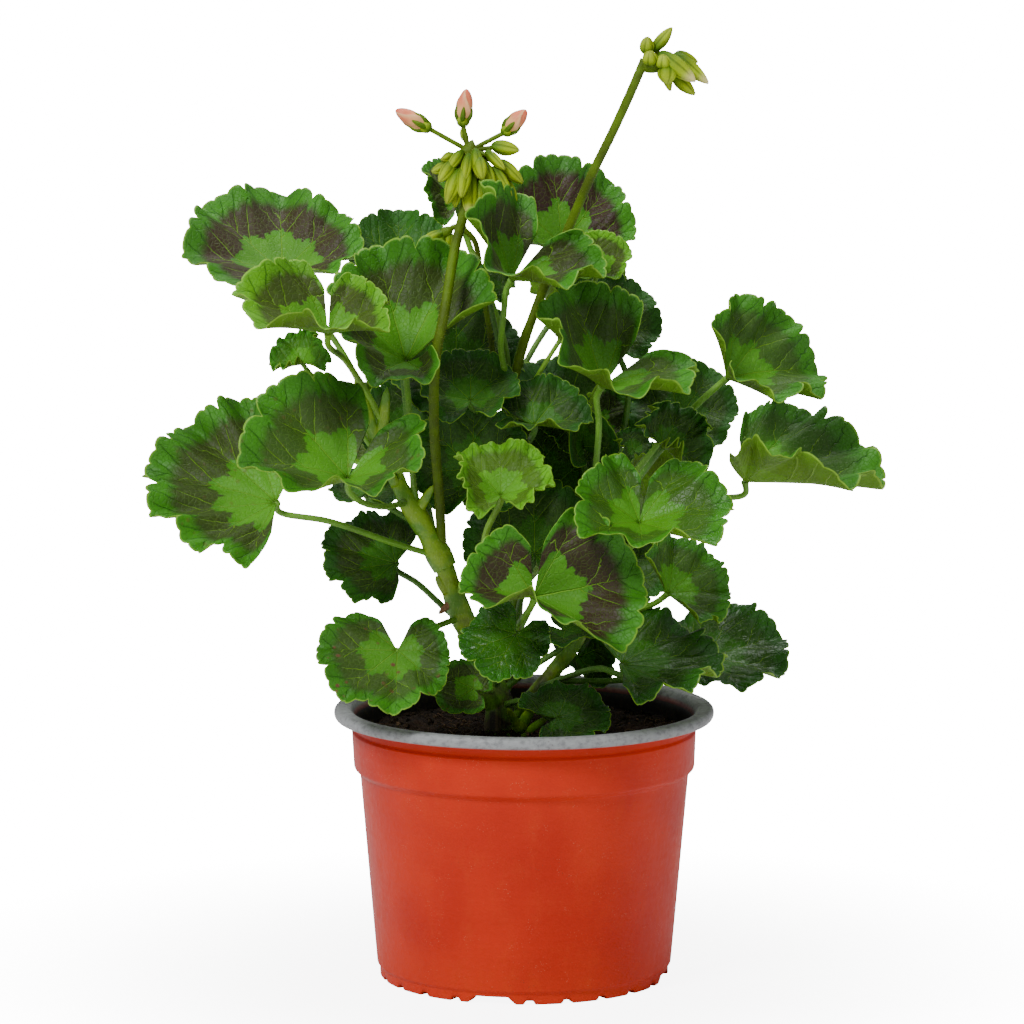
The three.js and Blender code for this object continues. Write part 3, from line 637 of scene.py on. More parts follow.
LEAVES = (
    Leaf("upper_left", (-95, 16, 277), (0, 67), 43, ((-46, -8, 191), (-58, 2, 222), (-78, 12, 256)),
         cone=25, tip=-4, lean=(0.1, -100), zone=0.95),
    Leaf("funnel_left", (-75, -48, 259.7), (4, 58), 38,
         ((-45, -9, 190), (-56, -6, 222), (-68, -14, 244)), cone=38, tip=180, sinus=6, fold=(8, 90),
         lean=(0.2, -100), age=Age.LIGHT),
    Leaf("back_left", (-50, 34, 278.5), (0, 38), 24.5,
         ((-42, -9, 184), (-46, 10, 220), (-50, 26, 260)), cone=20, fold=(12, 0), age=Age.DARK,
         zone=0.1),
    Leaf("centre_funnel", (-46, -16, 245.5), (0, 55), 48,
         ((-41, -9, 182), (-44, -12, 205), (-45, -14, 228)), cone=38, tip=-63, sinus=20,
         fold=(8, 0), lean=(0.2, 60), zone=0.75),
    Leaf("behind_left_buds", (-27, 28, 306), (0, 38), 19,
         ((-5, 9, 220), (-8, 22, 250), (-22, 28, 288)), cone=25, tip=-10, fold=(18, 0)),
    Leaf("curled_small", (-86, -14, 245), (-20, 50), 14, ((-48, -8, 193), (-66, -8, 220)), cone=30,
         tip=-40, wave=12, lobes=5, stalk_radius=1, zone=0.3, ruffle=9),
    Leaf("top_funnel", (-5, -14, 277), (35, 50), 45, ((-5, 8, 230), (-9, 0, 248), (-8, -10, 264)),
         cone=45, tip=238),
    Leaf("top_right", (15, 38, 286), (20, 50), 34, ((-6, 9, 230), (0, 25, 252), (12, 36, 276)),
         cone=28, fold=(8, 90), lean=(0.08, -10), zone=1.0, gloss=0.2),
    Leaf("top_small", (29, 2, 280), (0, 40), 16, ((-4, 9, 222), (10, 2, 246), (24, 2, 268)),
         cone=30, lobes=5, stalk_radius=1, age=Age.LIGHT),
    Leaf("inner_curled", (-14, 6, 271), (0, 40), 12, ((-5, 8, 232), (-10, 7, 250)), cone=20,
         wave=10, lobes=5, stalk_radius=1, age=Age.DARK, ruffle=9),
    Leaf("right_funnel", (30, -18, 236), (30, 50), 48,
         ((31, 8, 176), (28, -2, 196), (29, -14, 222)), cone=42, tip=250, zone=0.6),
    Leaf("behind_right_funnel", (33, 26, 254), (10, 35), 24,
         ((31, 8, 178), (37, 25, 202), (41, 24, 234)), cone=12, age=Age.DARK),
    Leaf("folded_dark", (23, 27, 207), (0, 45), 33, ((28, 8, 172), (25, 12, 193)), cone=48, tip=-22,
         fold=(34, -22), lean=(0.3, -20), age=Age.DARK),
    Leaf("inner_back", (-27, 30, 238), (0, 25), 30, ((-5, 11, 200), (-16, 24, 222)), cone=8,
         age=Age.DARK),
    Leaf("inner_upper", (-21, -4, 229), (0, 50), 23, ((-5, 11, 204), (-12, 8, 218)), cone=20,
         age=Age.DARK),
    Leaf("inner_right", (4, -8, 220), (0, 62), 23, ((-4, 12, 192), (0, 6, 208)), cone=25, tip=90,
         fold=(12, 90), age=Age.DARK),
    Leaf("inner_middle", (-20, -2, 202), (0, 15), 27, ((-4, 12, 178), (-10, 6, 192)), cone=12,
         age=Age.DARK),
    Leaf("inner_left", (-46, 24, 214), (0, 35), 23, ((-34, -10, 170), (-40, 8, 196)), cone=8,
         lobes=5, age=Age.DARK),
    Leaf("inner_low", (8, 24, 188), (0, 30), 37, ((-4, 12, 160), (2, 20, 174)), cone=10,
         age=Age.DARK),
    Leaf("inner_lowest", (4, 0, 168), (0, 40), 32, ((-4, 11, 136), (0, 4, 154)), cone=10,
         age=Age.DARK),
    Leaf("young_front", (-9, -44, 197), (0, 52), 24,
         ((-27, -8, 152), (-18, -24, 168), (-14, -38, 184)), cone=28, wave=8, age=Age.LIGHT,
         zone=0.6, ruffle=4),
    Leaf("far_right_upper", (79, -6, 238), (58, 38), 37,
         ((33, 6, 186), (50, 1, 208), (68, -4, 228)), cone=40, tip=110, lean=(0.08, 120),
         zone=0.55),
    Leaf("far_right_lower", (86.5, -3, 197), (0, 75), 43.5,
         ((32, 6, 178), (54, 4, 184), (74, -2, 190)), cone=24, tip=100, sinus=72, fold=(20, 95),
         lean=(0.25, 100), zone=0.4),
    Leaf("right_curled", (54, -14, 212), (40, 40), 20, ((33, 7, 182), (41, -7, 194)), cone=35,
         tip=90, wave=14, stalk_radius=1.2, age=Age.DARK, ruffle=9),
    Leaf("behind_right", (62, 32, 218), (-10, 35), 25, ((33, 7, 186), (48, 22, 203)), cone=10,
         tip=30, age=Age.DARK),
    Leaf("right_small_curled", (43, 16, 207), (20, 45), 10, ((34, 6, 181), (41, 9, 195)), cone=20,
         wave=12, lobes=5, stalk_radius=1, age=Age.DARK, ruffle=9),
    Leaf("right_inner", (26, 40, 212), (0, 45), 22, ((29, 8, 164), (28, 28, 190)), cone=15),
    Leaf("right_front", (44, -50, 187), (14, 54), 37,
         ((28, 8, 160), (34, -16, 170), (42, -42, 178)), cone=28, tip=195, sinus=6, lean=(0.12, 90),
         zone=0.5, gloss=0.5),
    Leaf("right_side", (56, -12, 154), (55, 40), 27, ((22, 9, 138), (38, 0, 144), (50, -8, 149)),
         cone=30, tip=75, sinus=40, zone=0.55, gloss=0.3),
    Leaf("right_behind", (34, 18, 158), (0, 40), 25, ((24, 9, 144), (30, 15, 151)), cone=10, tip=60,
         age=Age.DARK),
    Leaf("low_right", (38, -36, 130), (8, 66), 38, ((6, 8, 113), (16, -8, 120), (30, -28, 127)),
         cone=6, tip=80, sinus=72, lean=(0.08, 90), age=Age.DARK, zone=0.7, gloss=0.7),
    Leaf("low_far_right", (73, 2, 126), (20, 61), 29, ((10, 9, 116), (34, 8, 116), (56, 6, 119)),
         cone=12, tip=80, sinus=25, lean=(0.12, 80), age=Age.DARK, zone=0.6, gloss=0.8),
    Leaf("low_folded", (22, 26, 122.6), (10, 30), 16, ((8, 10, 114), (15, 20, 119)), cone=35,
         tip=150, fold=(25, 150), lobes=5, age=Age.DARK),
    Leaf("front_large", (3.4, -64, 160.7), (12, 46), 41,
         ((-16, -4, 124), (-8, -28, 138), (0, -56, 152)), cone=28, tip=185, sinus=10,
         fold=(24, 112), lean=(0.2, 80), zone=0.95),
    Leaf("front_glossy", (-3.3, -60, 145.8), (-10, 40), 20,
         ((-12, -1, 114), (-8, -22, 126), (-4, -44, 137)), cone=0, tip=200, sinus=25,
         lean=(0.18, -90), age=Age.DARK, zone=0.25, gloss=1.0),
    Leaf("front_hidden", (16, -4, 138), (0, 66), 14, ((-11, -1, 112), (4, -4, 124), (15, -4, 132)),
         cone=8, tip=120, lobes=5, age=Age.DARK),
    Leaf("low_front", (13, -36, 109), (10, 58), 21, ((-10, 0, 107), (0, -16, 112), (8, -30, 109)),
         cone=5, tip=70, sinus=20, age=Age.DARK, gloss=0.5),
    Leaf("low_small", (-20, -34, 120), (0, 32), 13,
         ((-12, -1, 113), (-14, -14, 116), (-17, -28, 118)), cone=5, tip=-60, lean=(0.25, -100),
         lobes=5, stalk_radius=1, zone=0.7, specks=0.6),
    Leaf("left_front", (-67.3, -56, 205), (0, 58), 44,
         ((-45, -9, 190), (-54, -24, 190), (-64, -48, 196)), cone=31, tip=210, sinus=7,
         lean=(0.18, -20), zone=0.65, specks=0.3),
    Leaf("far_left", (-96, -28, 192), (-15, 46), 47,
         ((-32, -10, 168), (-50, -14, 174), (-76, -22, 184)), cone=18, tip=-85, sinus=75,
         lean=(0.14, -60), zone=0.75, specks=0.35),
    Leaf("left_under", (-62, 4, 192), (0, 70), 17, ((-40, -10, 180), (-52, -2, 186)), cone=5,
         lobes=5, age=Age.DARK),
    Leaf("left_dark", (-50.5, -2, 164.5), (0, 52), 28,
         ((-24, -7, 141), (-33, -6, 149), (-42, -4, 157)), cone=8, tip=-76, sinus=68,
         lean=(0.08, -60), age=Age.DARK, zone=1.2),
    Leaf("low_left", (-49, -46, 137), (0, 45), 29,
         ((-24, -7, 144), (-34, -18, 142), (-44, -36, 138)), cone=6, tip=180, sinus=26,
         lean=(0.2, -100), zone=0.6, specks=1.0),
    Leaf("rear_left", (-74, 52, 205), (200, 45), 30,
         ((-38, -10, 178), (-50, 14, 192), (-64, 38, 198)), cone=15),
    Leaf("rear_right", (50, 56, 182), (155, 45), 28, ((20, 10, 133), (34, 34, 140), (44, 52, 164)),
         cone=15),
    Leaf("rear_low", (8, 74, 152), (185, 45), 30, ((-6, 8, 122), (-2, 30, 132), (6, 58, 144)),
         cone=15),
    Leaf("rear_top", (-40, 78, 254), (185, 45), 26, ((-5, 10, 210), (-16, 38, 226), (-34, 62, 244)),
         cone=15),
    Leaf("rear_upper_right", (22, 85, 262), (170, 45), 24,
         ((-5, 10, 206), (-4, 38, 228), (12, 68, 254)), cone=15),
)


# ---- Pot and peat ----
def rounded_profile(corners: Sequence[Point], steps: int = 4) -> Array:
    """A profile whose corners are rounded off.

    Each corner is replaced by a curve that starts and ends at the corner's rounding distance along
    the two lines that meet there, and at most at 0.45 of their lengths.

    Args:
        corners: Radius, height and rounding distance of each corner.
        steps: Points of each rounded corner.

    Returns:
        Points by 2 of radius and height.
    """
    flat = np.array([corner[:2] for corner in corners], float)
    share = np.linspace(0, 1, steps)[:, None]
    points = [flat[0]]
    for before, corner, after, (_, _, reach) in zip(flat, flat[1:], flat[2:], corners[1:]):
        if reach == 0:
            points.append(corner)
            continue
        leave, arrive = before - corner, after - corner
        leave_by, arrive_by = (
            min(reach, 0.45 * np.linalg.norm(side)) / np.linalg.norm(side)
            for side in (leave, arrive)
        )
        points.extend(corner + (1 - share) ** 2 * leave_by * leave + share**2 * arrive_by * arrive)
    points.append(flat[-1])
    return np.array(points)


def lumps(points: Array, wavelength: float, seed: int, waves: int = 24) -> Array:
    """Smooth random bumps of about -1 to 1: a sum of sine waves in random directions.

    Args:
        points: Positions, the last axis being x, y, z.
        wavelength: Typical distance between two bumps, in the points' units.
        seed: Number that picks the pattern.
        waves: How many waves are added.

    Returns:
        The height at each position.
    """
    chance = np.random.default_rng(seed)
    directions = unit(chance.normal(size=(waves, points.shape[-1])))
    rates = TURN / wavelength * chance.uniform(0.6, 1.5, waves)
    phases = chance.uniform(0, TURN, waves)
    total = np.zeros(points.shape[:-1])
    for direction, rate, phase in zip(directions, rates, phases):
        total += np.sin(points @ direction * rate + phase)
    return total / math.sqrt(waves)


@dataclass(frozen=True)
class Notch:
    """A cut in the pot's foot ring, at a heading in degrees, with slanting sides."""

    turn: float
    top_width: float
    foot_width: float
    height: float


@dataclass
class NurseryPot:
    """The pot: rolled rim, groove, collar, tapered wall and a foot ring with cut-outs."""

    rim_radius: float = 75.0
    height: float = 107.6
    rim_height: float = 4.5
    collar_radius: float = 68.0
    collar_foot: float = 83.0
    wall_top: float = 65.1
    wall_foot: float = 58.3
    foot_radius: float = 57.2
    foot_inside: float = 51.6
    foot_height: float = 4.6
    wall: float = 1.2
    columns: int = 720
    first_notch: float = -13.0
    quarters: int = 4
    scallops: int = 5
    dent: float = 0.18
    dent_length: float = 60
    rim_inside: float = 66.6

    def inside_radius(self, height: float) -> float:
        """Inside radius of the wall at a height.

        Args:
            height: Height above the floor.

        Returns:
            The radius.
        """
        if height >= self.collar_foot:
            return self.collar_radius - self.wall - 0.5
        rise = (height - self.foot_height) / (self.collar_foot - self.foot_height)
        return self.wall_foot + (self.wall_top - self.wall_foot) * rise - self.wall

    def profile(self) -> Array:
        """The wall's section, from the middle of the underside up the outside and down the inside.

        Returns:
            Points by 2 of radius and height.
        """
        under_rim = self.height - self.rim_height
        foot = self.foot_height
        low_inside = self.inside_radius(foot + 2)
        return rounded_profile([
            (0.02, foot - self.wall, 0),
            (self.foot_inside - 0.8, foot - self.wall, 0.6),
            (self.foot_inside, 0, 0.5),
            (self.foot_radius, 0, 0.8),
            (self.foot_radius, foot - 0.6, 0.4),
            (self.wall_foot, foot + 0.8, 0.5),
            (self.wall_top, self.collar_foot - 1.4, 0.5),
            (self.collar_radius - 0.6, self.collar_foot + 0.6, 0.8),
            (self.collar_radius, under_rim - 5.2, 0.4),
            (self.collar_radius - 0.9, under_rim - 4.2, 0.4),
            (self.collar_radius - 0.9, under_rim, 0.6),
            (self.rim_radius - 0.7, under_rim, 0.9),
            (self.rim_radius, under_rim + 1.2, 0.9),
            (self.rim_radius, self.height - 1.4, 0.9),
            (self.rim_radius - 1.2, self.height, 0.9),
            (self.collar_radius + 1.4, self.height, 1.2),
            (self.collar_radius - 0.2, self.height - 1.2, 1.2),
            (self.collar_radius - self.wall - 0.7, self.height - 6, 1.2),
            (self.inside_radius(self.collar_foot), self.collar_foot + 0.2, 0.6),
            (self.wall_top - self.wall, self.collar_foot - 2.2, 0.6),
            (low_inside, foot + 2, 0.8),
            (low_inside - 1.4, foot + 0.4, 0.8),
            (0.02, foot + 0.4, 0),
        ])

    def notches(self) -> list[Notch]:
        """The four large cut-outs and the small scallops between them.

        Returns:
            The notches, all around the foot.
        """
        quarter = 360 / self.quarters
        found = []
        for side in range(self.quarters):
            start = self.first_notch + side * quarter
            found.append(Notch(start, 13, 19.5, self.foot_height - self.wall - 0.4))
            for step in range(1, self.scallops + 1):
                turn = start + quarter * step / (self.scallops + 1)
                found.append(Notch(turn, 2.8, 4.6, 1.7))
        return found

    def cut_height(self, turn: Array) -> Array:
        """How high the foot ring is cut away at each angle.

        At a distance d from a notch's middle the cut is as high as the notch, less the slope of its
        side: height times (half the foot width less d) over half the difference of the two widths.

        Args:
            turn: Angles around the pot in radians, from +X.

        Returns:
            Heights.
        """
        heights = np.zeros_like(turn)
        for notch in self.notches():
            heading = math.radians(notch.turn) - math.pi / 2
            away = np.angle(np.exp(1j * (turn - heading)))
            distance = np.abs(away) * self.foot_radius
            slope = (notch.foot_width / 2 - distance) / ((notch.foot_width - notch.top_width) / 2)
            heights = np.maximum(heights, notch.height * np.clip(slope, 0, 1))
        return heights

    def make(self, finish: Material) -> None:
        """Turns the profile around the axis, cuts the foot and dents the wall a little.

        Args:
            finish: The pot's finish.
        """
        profile = self.profile()
        turn = np.linspace(0, TURN, self.columns, endpoint=False)
        radius = profile[:, 0][:, None] * np.ones_like(turn)
        height = profile[:, 1][:, None] * np.ones_like(turn)
        in_foot = (radius > self.foot_inside - 1.0) & (height < self.foot_height - self.wall)
        in_foot[len(profile) // 2:] = False
        height = np.where(in_foot, np.maximum(height, self.cut_height(turn)), height)
        grid = np.stack([radius * np.cos(turn), radius * np.sin(turn), height], axis=2)
        dent = self.dent * lumps(grid, self.dent_length, 5) * smooth(8, 30, height) * (radius > 30)
        grid[..., 0] += dent * np.cos(turn)
        grid[..., 1] += dent * np.sin(turn)
        uv = grid_uv(turn / TURN, lengths_along(profile))
        shell = surface_patch(grid * MM, uv, wrap_columns=True)
        poles = [np.array([0, 0, profile[row, 1] * MM]) for row in (0, -1)]
        shell = with_poles(shell, self.columns, *poles)
        rows = np.arange(len(profile))
        top = int(np.argmax(profile[:, 1] - 0.001 * profile[:, 0]))
        inside = np.append(np.repeat((rows > top).astype(float), self.columns), [0, 1])
        under_rim = self.height - self.rim_height
        in_rim = smooth(under_rim - 0.4, under_rim + 0.6, height) * (radius > self.rim_inside)
        painted(shell, inside=inside, rim=np.append(in_rim.ravel(), [0, 0]))
        add_piece("nursery_pot", "pot", "pot_plastic", [shell], finish)


@dataclass
class PottingSoil:
    """The peat that fills the pot: a crumbly top with fibres, and plain sides against the wall."""

    pot: NurseryPot
    level: float = 96.6
    bump: float = 0.9
    mound: float = 1.6
    rows: int = 70
    columns: int = 300
    crumbs: int = 420
    fibres: int = 90
    crumb_reach: float = 64
    fibre_reach: float = 62
    fibre_steps: int = 8
    seed: int = 77

    def top(self, x: Array, y: Array) -> Array:
        """Height of the surface: the level, two crossing waves, a mound in the middle and lumps.

        Args:
            x: Places from the pot's axis to the right.
            y: Places from the pot's axis to the back.

        Returns:
            Heights.
        """
        waves = np.sin(0.21 * x + 1.3) * np.cos(0.17 * y - 0.6)
        waves = waves + 0.6 * np.sin(0.43 * x - 0.35 * y + 2)
        flat = np.stack([x, y], axis=-1)
        rough = 0.5 * lumps(flat, 9, 21) + 0.35 * lumps(flat, 4, 22) + 0.22 * lumps(flat, 2.1, 23)
        middle = np.exp(-(x**2 + y**2) / 500)
        return self.level + self.bump * waves + self.mound * middle + rough

    def body(self) -> Patch:
        """The peat's closed surface: its underside, its side and its top.

        Returns:
            The surface, its UV being the place from the pot's axis.
        """
        pot = self.pot
        floor = pot.foot_height + 0.7
        edge = pot.inside_radius(pot.collar_foot + 1) - 0.4
        side = np.array([
            (0.02, floor),
            (pot.inside_radius(floor + 2) - 2.2, floor),
            (pot.inside_radius(floor + 3) - 0.4, floor + 3),
            (pot.wall_top - pot.wall - 0.5, pot.collar_foot - 2.4),
            (edge, pot.collar_foot + 1.6),
        ])
        radius = np.concatenate([side[:, 0], np.linspace(edge, 0.02, self.rows)])[:, None]
        turn = np.linspace(0, TURN, self.columns, endpoint=False)[None, :]
        x, y = radius * np.cos(turn), radius * np.sin(turn)
        height = self.top(x, y)
        height[: len(side)] = side[:, 1:]
        grid = np.stack([x, y, height], axis=2)
        patch = surface_patch(grid * MM, np.stack([x, y], axis=2), wrap_columns=True)
        top = np.array([0, 0, height[-1].mean() * MM])
        return with_poles(patch, self.columns, np.array([0, 0, floor * MM]), top)

    def crumb(self, chance: np.random.Generator) -> Patch:
        """One crumb lying on the surface, paler or mossy at random.

        Args:
            chance: Where its random draws come from.

        Returns:
            The crumb.
        """
        turn = chance.uniform(0, TURN)
        radius = self.crumb_reach * math.sqrt(chance.uniform(0, 1))
        middle = np.array([radius * math.cos(turn), radius * math.sin(turn), 0.0])
        size = chance.uniform(0.5, 1.7)
        middle[2] = float(self.top(middle[0], middle[1])) + 0.2 * size
        axis = size * unit(chance.normal(size=3))
        thick = size * chance.uniform(0.6, 0.9)
        crumb = spindle_patch(middle - axis, middle + axis, thick, 6, 5, 0.7)
        by_stem = float(np.exp(-((middle[0] + 4) ** 2 + (middle[1] + 8) ** 2) / 300))
        return painted(crumb, pale=chance.uniform(0, 1) ** 3, moss=by_stem * chance.uniform(0.3, 1))

    def fibre(self, chance: np.random.Generator) -> Patch:
        """One thin fibre lying across the surface.

        Args:
            chance: Where its random draws come from.

        Returns:
            The fibre.
        """
        turn, heading = chance.uniform(0, TURN, 2)
        radius = self.fibre_reach * math.sqrt(chance.uniform(0, 1))
        start = np.array([radius * math.cos(turn), radius * math.sin(turn)])
        step = np.array([math.cos(heading), math.sin(heading)]) * chance.uniform(2, 6)
        across = np.array([-step[1], step[0]]) * chance.uniform(-0.5, 0.5)
        flat = [start - step, start + across, start + step]
        flat = [spot * min(1, self.crumb_reach / max(np.linalg.norm(spot), 1)) for spot in flat]
        points = [(*spot, float(self.top(spot[0], spot[1])) + 0.5) for spot in flat]
        path = curve_through(points, self.fibre_steps)
        fibre = tube_patch(path, np.full(self.fibre_steps, chance.uniform(0.12, 0.3)), 5)
        return painted(fibre, pale=chance.uniform(0.2, 1))

    def make(self, finish: Material) -> None:
        """Builds the peat with its crumbs and fibres.

        Args:
            finish: The peat's finish.
        """
        chance = np.random.default_rng(self.seed)
        patches = [painted(self.body(), pale=0)]
        patches += [self.crumb(chance) for _ in range(self.crumbs)]
        patches += [self.fibre(chance) for _ in range(self.fibres)]
        add_piece("potting_soil", "soil", "peat", patches, finish)


# ---- Stem ----
@dataclass(frozen=True)
class Swelling:
    """A thicker place on a branch: where along it, by how much, and over what length, as shares."""

    share: float
    extra: float
    width: float


@dataclass(frozen=True)
class Branch:
    """One branch: points from the base up, its radius in mm, how woody it is, and its swellings."""

    points: tuple[Point, ...]
    radius: float
    woody: float
    swellings: tuple[Swelling, ...] = ()
    tip: float = 0.9


@dataclass(frozen=True)
class Scale:
    """A small leaf-like scale on the stem: its foot, its point, its width, and how dry it is."""

    foot: Point
    point: Point
    width: float
    dry: float


@dataclass(frozen=True)
class Growth:
    """A body grown onto the stem: the old trunk's foot, or a shoot's point. Its shape is its sides,
    its rings and how blunt it is."""

    foot: Point
    point: Point
    radius: float
    woody: float
    shape: tuple[int, int, float] = (20, 14, 1.0)


BRANCHES = (
    Branch(((-8, 0, 70), (-8, 0, 97), (-11, -1, 110), (-16, -4, 124), (-22, -6, 138)), 5.4, 0.8,
           (Swelling(0.55, 0.2, 0.1),)),
    Branch(((-19, -5, 131), (-22, -6, 138), (-27, -8, 151), (-32, -10, 167)), 3.9, 0.25,
           (Swelling(0.55, 0.28, 0.2), Swelling(0.02, 0.3, 0.2))),
    Branch(((-31, -10, 164), (-37, -10, 176), (-44, -9, 188), (-50, -8, 198)), 3.4, 0.1,
           (Swelling(0.1, 0.55, 0.22), Swelling(0.65, 0.62, 0.3)), 0.7),
    Branch(((-10, 0, 106), (-6, 8, 122), (-3, 12, 150), (-4, 12, 185), (-5, 10, 215), (-5, 7, 238)),
           2.9, 0.45, (Swelling(0.45, 0.2, 0.05), Swelling(0.75, 0.25, 0.06))),
    Branch(((-8, 1, 100), (6, 8, 113), (20, 10, 132), (29, 8, 158), (34, 6, 188)), 3.1, 0.4,
           (Swelling(0.5, 0.22, 0.06), Swelling(0.78, 0.25, 0.07))),
)


GROWTHS = (
    Growth((-8, 0, 78), (-10, -1, 120), 6.9, 0.8, (30, 30, 0.6)),
    Growth((-47, -8, 190), (-58, -4, 214), 2.2, 0),
    Growth((-6, -1, 99), (1, -10, 112), 2, 0.2),
)


SCALES = (
    Scale((-58, -6, 212), (-66, -9, 238), 3.6, 0),
    Scale((-56, -6, 212), (-53.5, -9, 235), 3.0, 0),
    Scale((-50, -11, 196), (-55, -13, 207), 2.4, 0),
    Scale((-42, -12, 186), (-35, -13, 197), 2.6, 0),
    Scale((-26, -11, 154), (-20.5, -12, 160), 2.6, 0.1),
    Scale((-30, -12, 154), (-34.5, -12, 161), 2.4, 0.1),
    Scale((-28, -11, 151), (-33.5, -12, 146), 1.7, 1.0),
    Scale((-24, -9, 141), (-18.5, -11, 136), 1.6, 1.0),
    Scale((-3, -8, 98), (4.5, -14, 111), 2.8, 0),
    Scale((-1, -8, 98), (-6.5, -14, 109), 2.3, 0),
    Scale((1, -8, 98), (9, -13, 105), 2.1, 0),
)


@dataclass
class Stem:
    """The trunk, its branches with swollen nodes, young shoots and the scales beside them."""

    sides: int = 28
    steps: int = 90
    knots: float = 0.035
    knot_length: float = 9
    fading: float = 0.35
    scale_rows: int = 9
    scale_columns: int = 7
    scale_cup: float = 0.35
    scale_thickness: float = 0.35

    def branch(self, branch: Branch) -> Patch:
        """One branch, thicker at its swellings, a little knotty, tapering and greener to its tip.

        A swelling at s with width w adds its extra share times e to the power of minus ((share
        less s) over w) squared.

        Args:
            branch: The branch.

        Returns:
            The branch, painted with woody.
        """
        path = curve_through(branch.points, self.steps)
        share = np.linspace(0, 1, self.steps)
        radii = branch.radius * (1 - (1 - branch.tip) * share)
        for swelling in branch.swellings:
            away = (share - swelling.share) / swelling.width
            radii *= 1 + swelling.extra * np.exp(-(away**2))
        radii *= 1 + self.knots * lumps(path, self.knot_length, int(branch.radius * 10))
        woody = branch.woody * (1 - self.fading * share)
        woody = np.concatenate([np.repeat(woody, self.sides), woody[[0, -1]]])
        return painted(tube_patch(path, radii, self.sides), woody=woody)

    def scale(self, scale: Scale) -> Patch:
        """A pointed scale, cupped around the line from its foot to its point.

        Half its width at a share s of its length is its width times the root of (1 less s to the
        power 1.6), a little less near the foot; it bends back by the cup times the square of the
        place across it.

        Args:
            scale: The scale.

        Returns:
            The scale, painted with dry.
        """
        foot, point = np.asarray(scale.foot, float), np.asarray(scale.point, float)
        along = np.linspace(0, 1, self.scale_rows)
        across = np.linspace(-1, 1, self.scale_columns)
        axis = point - foot
        side = unit(np.cross(axis, [0, -1, 0]))
        out = unit(np.cross(side, axis))
        width = scale.width * np.sqrt(np.maximum(1 - along**1.6, 0.002)) * (0.75 + 0.25 * along)
        grid = (
            foot
            + along[:, None, None] * axis
            + (width[:, None] * across[None, :])[..., None] * side
            - (self.scale_cup * width[:, None] * across[None, :] ** 2)[..., None] * out
        )
        uv = grid_uv(across, along)
        thickness = np.full(self.scale_rows, self.scale_thickness)
        return painted(sheet_patch(grid, uv, thickness), woody=0, dry=scale.dry)

    def make(self, finish: Material) -> None:
        """Builds the stem.

        Args:
            finish: The stem's finish.
        """
        patches = [self.branch(branch) for branch in BRANCHES]
        for growth in GROWTHS:
            body = spindle_patch(growth.foot, growth.point, growth.radius, *growth.shape)
            patches.append(painted(body, woody=growth.woody))
        patches += [self.scale(scale) for scale in SCALES]
        add_piece("plant_stem", "stem", "stem_skin", patches, finish)


# ---- Flower heads ----
@dataclass(frozen=True)
class Bud:
    """A closed bud: where its thin stalk ends, its point, its radius, and how white its tip is."""

    base: Point
    tip: Point
    radius: float
    pale: float = 0.08


@dataclass(frozen=True)
class OpeningBud:
    """A bud that shows its petals: the petals' node, the foot of its calyx and the petals' tip."""

    node: str
    base: Point
    tip: Point


@dataclass(frozen=True)
class FlowerHead:
    """A cluster of buds on a long stalk; the buds' own stalks come from its core."""

    node: str
    stalk: tuple[Point, ...]
    radius: float
    core: tuple[Point, Point, float]
    buds: tuple[Bud, ...]
    opening: tuple[OpeningBud, ...] = ()


LEFT_HEAD = FlowerHead(
    "bud_head_left",
    ((-32, -10, 166), (-33, -14, 190), (-35, -24, 223), (-34, -31, 250), (-31, -30, 265),
     (-27, -18, 289), (-23, -6, 306), (-21, -2, 327)),
    1.95,
    ((-23, -3, 322), (-20, -1, 331), 3.4),
    (
        Bud((-27, -2, 325), (-32.5, -4, 323), 1.5),
        Bud((-29, -4, 321), (-36, -6, 318.5), 1.7),
        Bud((-27, -6, 323), (-33, -10, 315), 2),
        Bud((-25, -7, 320), (-30, -12, 306.5), 2.4),
        Bud((-22.6, -8, 322), (-24.3, -13, 309), 2.3),
        Bud((-21.6, -6, 321), (-20.8, -9, 300), 2.6, 1.0),
        Bud((-18, -8, 325), (-16, -13, 316), 2),
        Bud((-17.7, -5, 316), (-14.6, -8, 299.5), 2.5, 1.0),
        Bud((-14.6, -4, 319), (-8, -7, 311), 2.3),
        Bud((-12.3, -3, 316), (-10.7, -5, 305.5), 2.2),
        Bud((-9, -1, 317), (-3.3, -2, 304), 2.3),
        Bud((-10.3, -2, 323), (-0.6, -4, 314), 2.2),
        Bud((-13, -2, 328.7), (-1.8, -3, 326.7), 2.3),
        Bud((-22.6, -1, 330), (-24.5, 1, 335), 1.2),
        Bud((-25, 2, 322), (-29, 8, 310), 2.3),
        Bud((-18, 3, 321), (-16, 9, 307), 2.4),
        Bud((-13, 2, 320), (-7, 8, 309), 2.2),
        Bud((-19, -7, 328), (-17.5, -11, 316.5), 1.8),
        Bud((-24, -5, 327), (-29.5, -9, 319.5), 1.6),
        Bud((-15.5, -6, 323), (-11.5, -10, 310.5), 1.8),
        Bud((-21.5, -7, 326), (-23.5, -13, 314.5), 1.6),
        Bud((-15, -5, 327), (-7.5, -8, 319.5), 1.6),
        Bud((-25, -6, 318), (-27, -10, 305), 1.9),
        Bud((-12, -5, 321), (-5, -8, 309), 1.7),
    ),
    (
        OpeningBud("petals_left", (-36, -3, 334.6), (-50, -4, 342.5)),
        OpeningBud("petals_middle", (-24.2, -1, 335.5), (-22.4, -1, 350.5)),
        OpeningBud("petals_right", (-8.5, -1, 332.6), (0.8, -2, 342.4)),
    ),
)
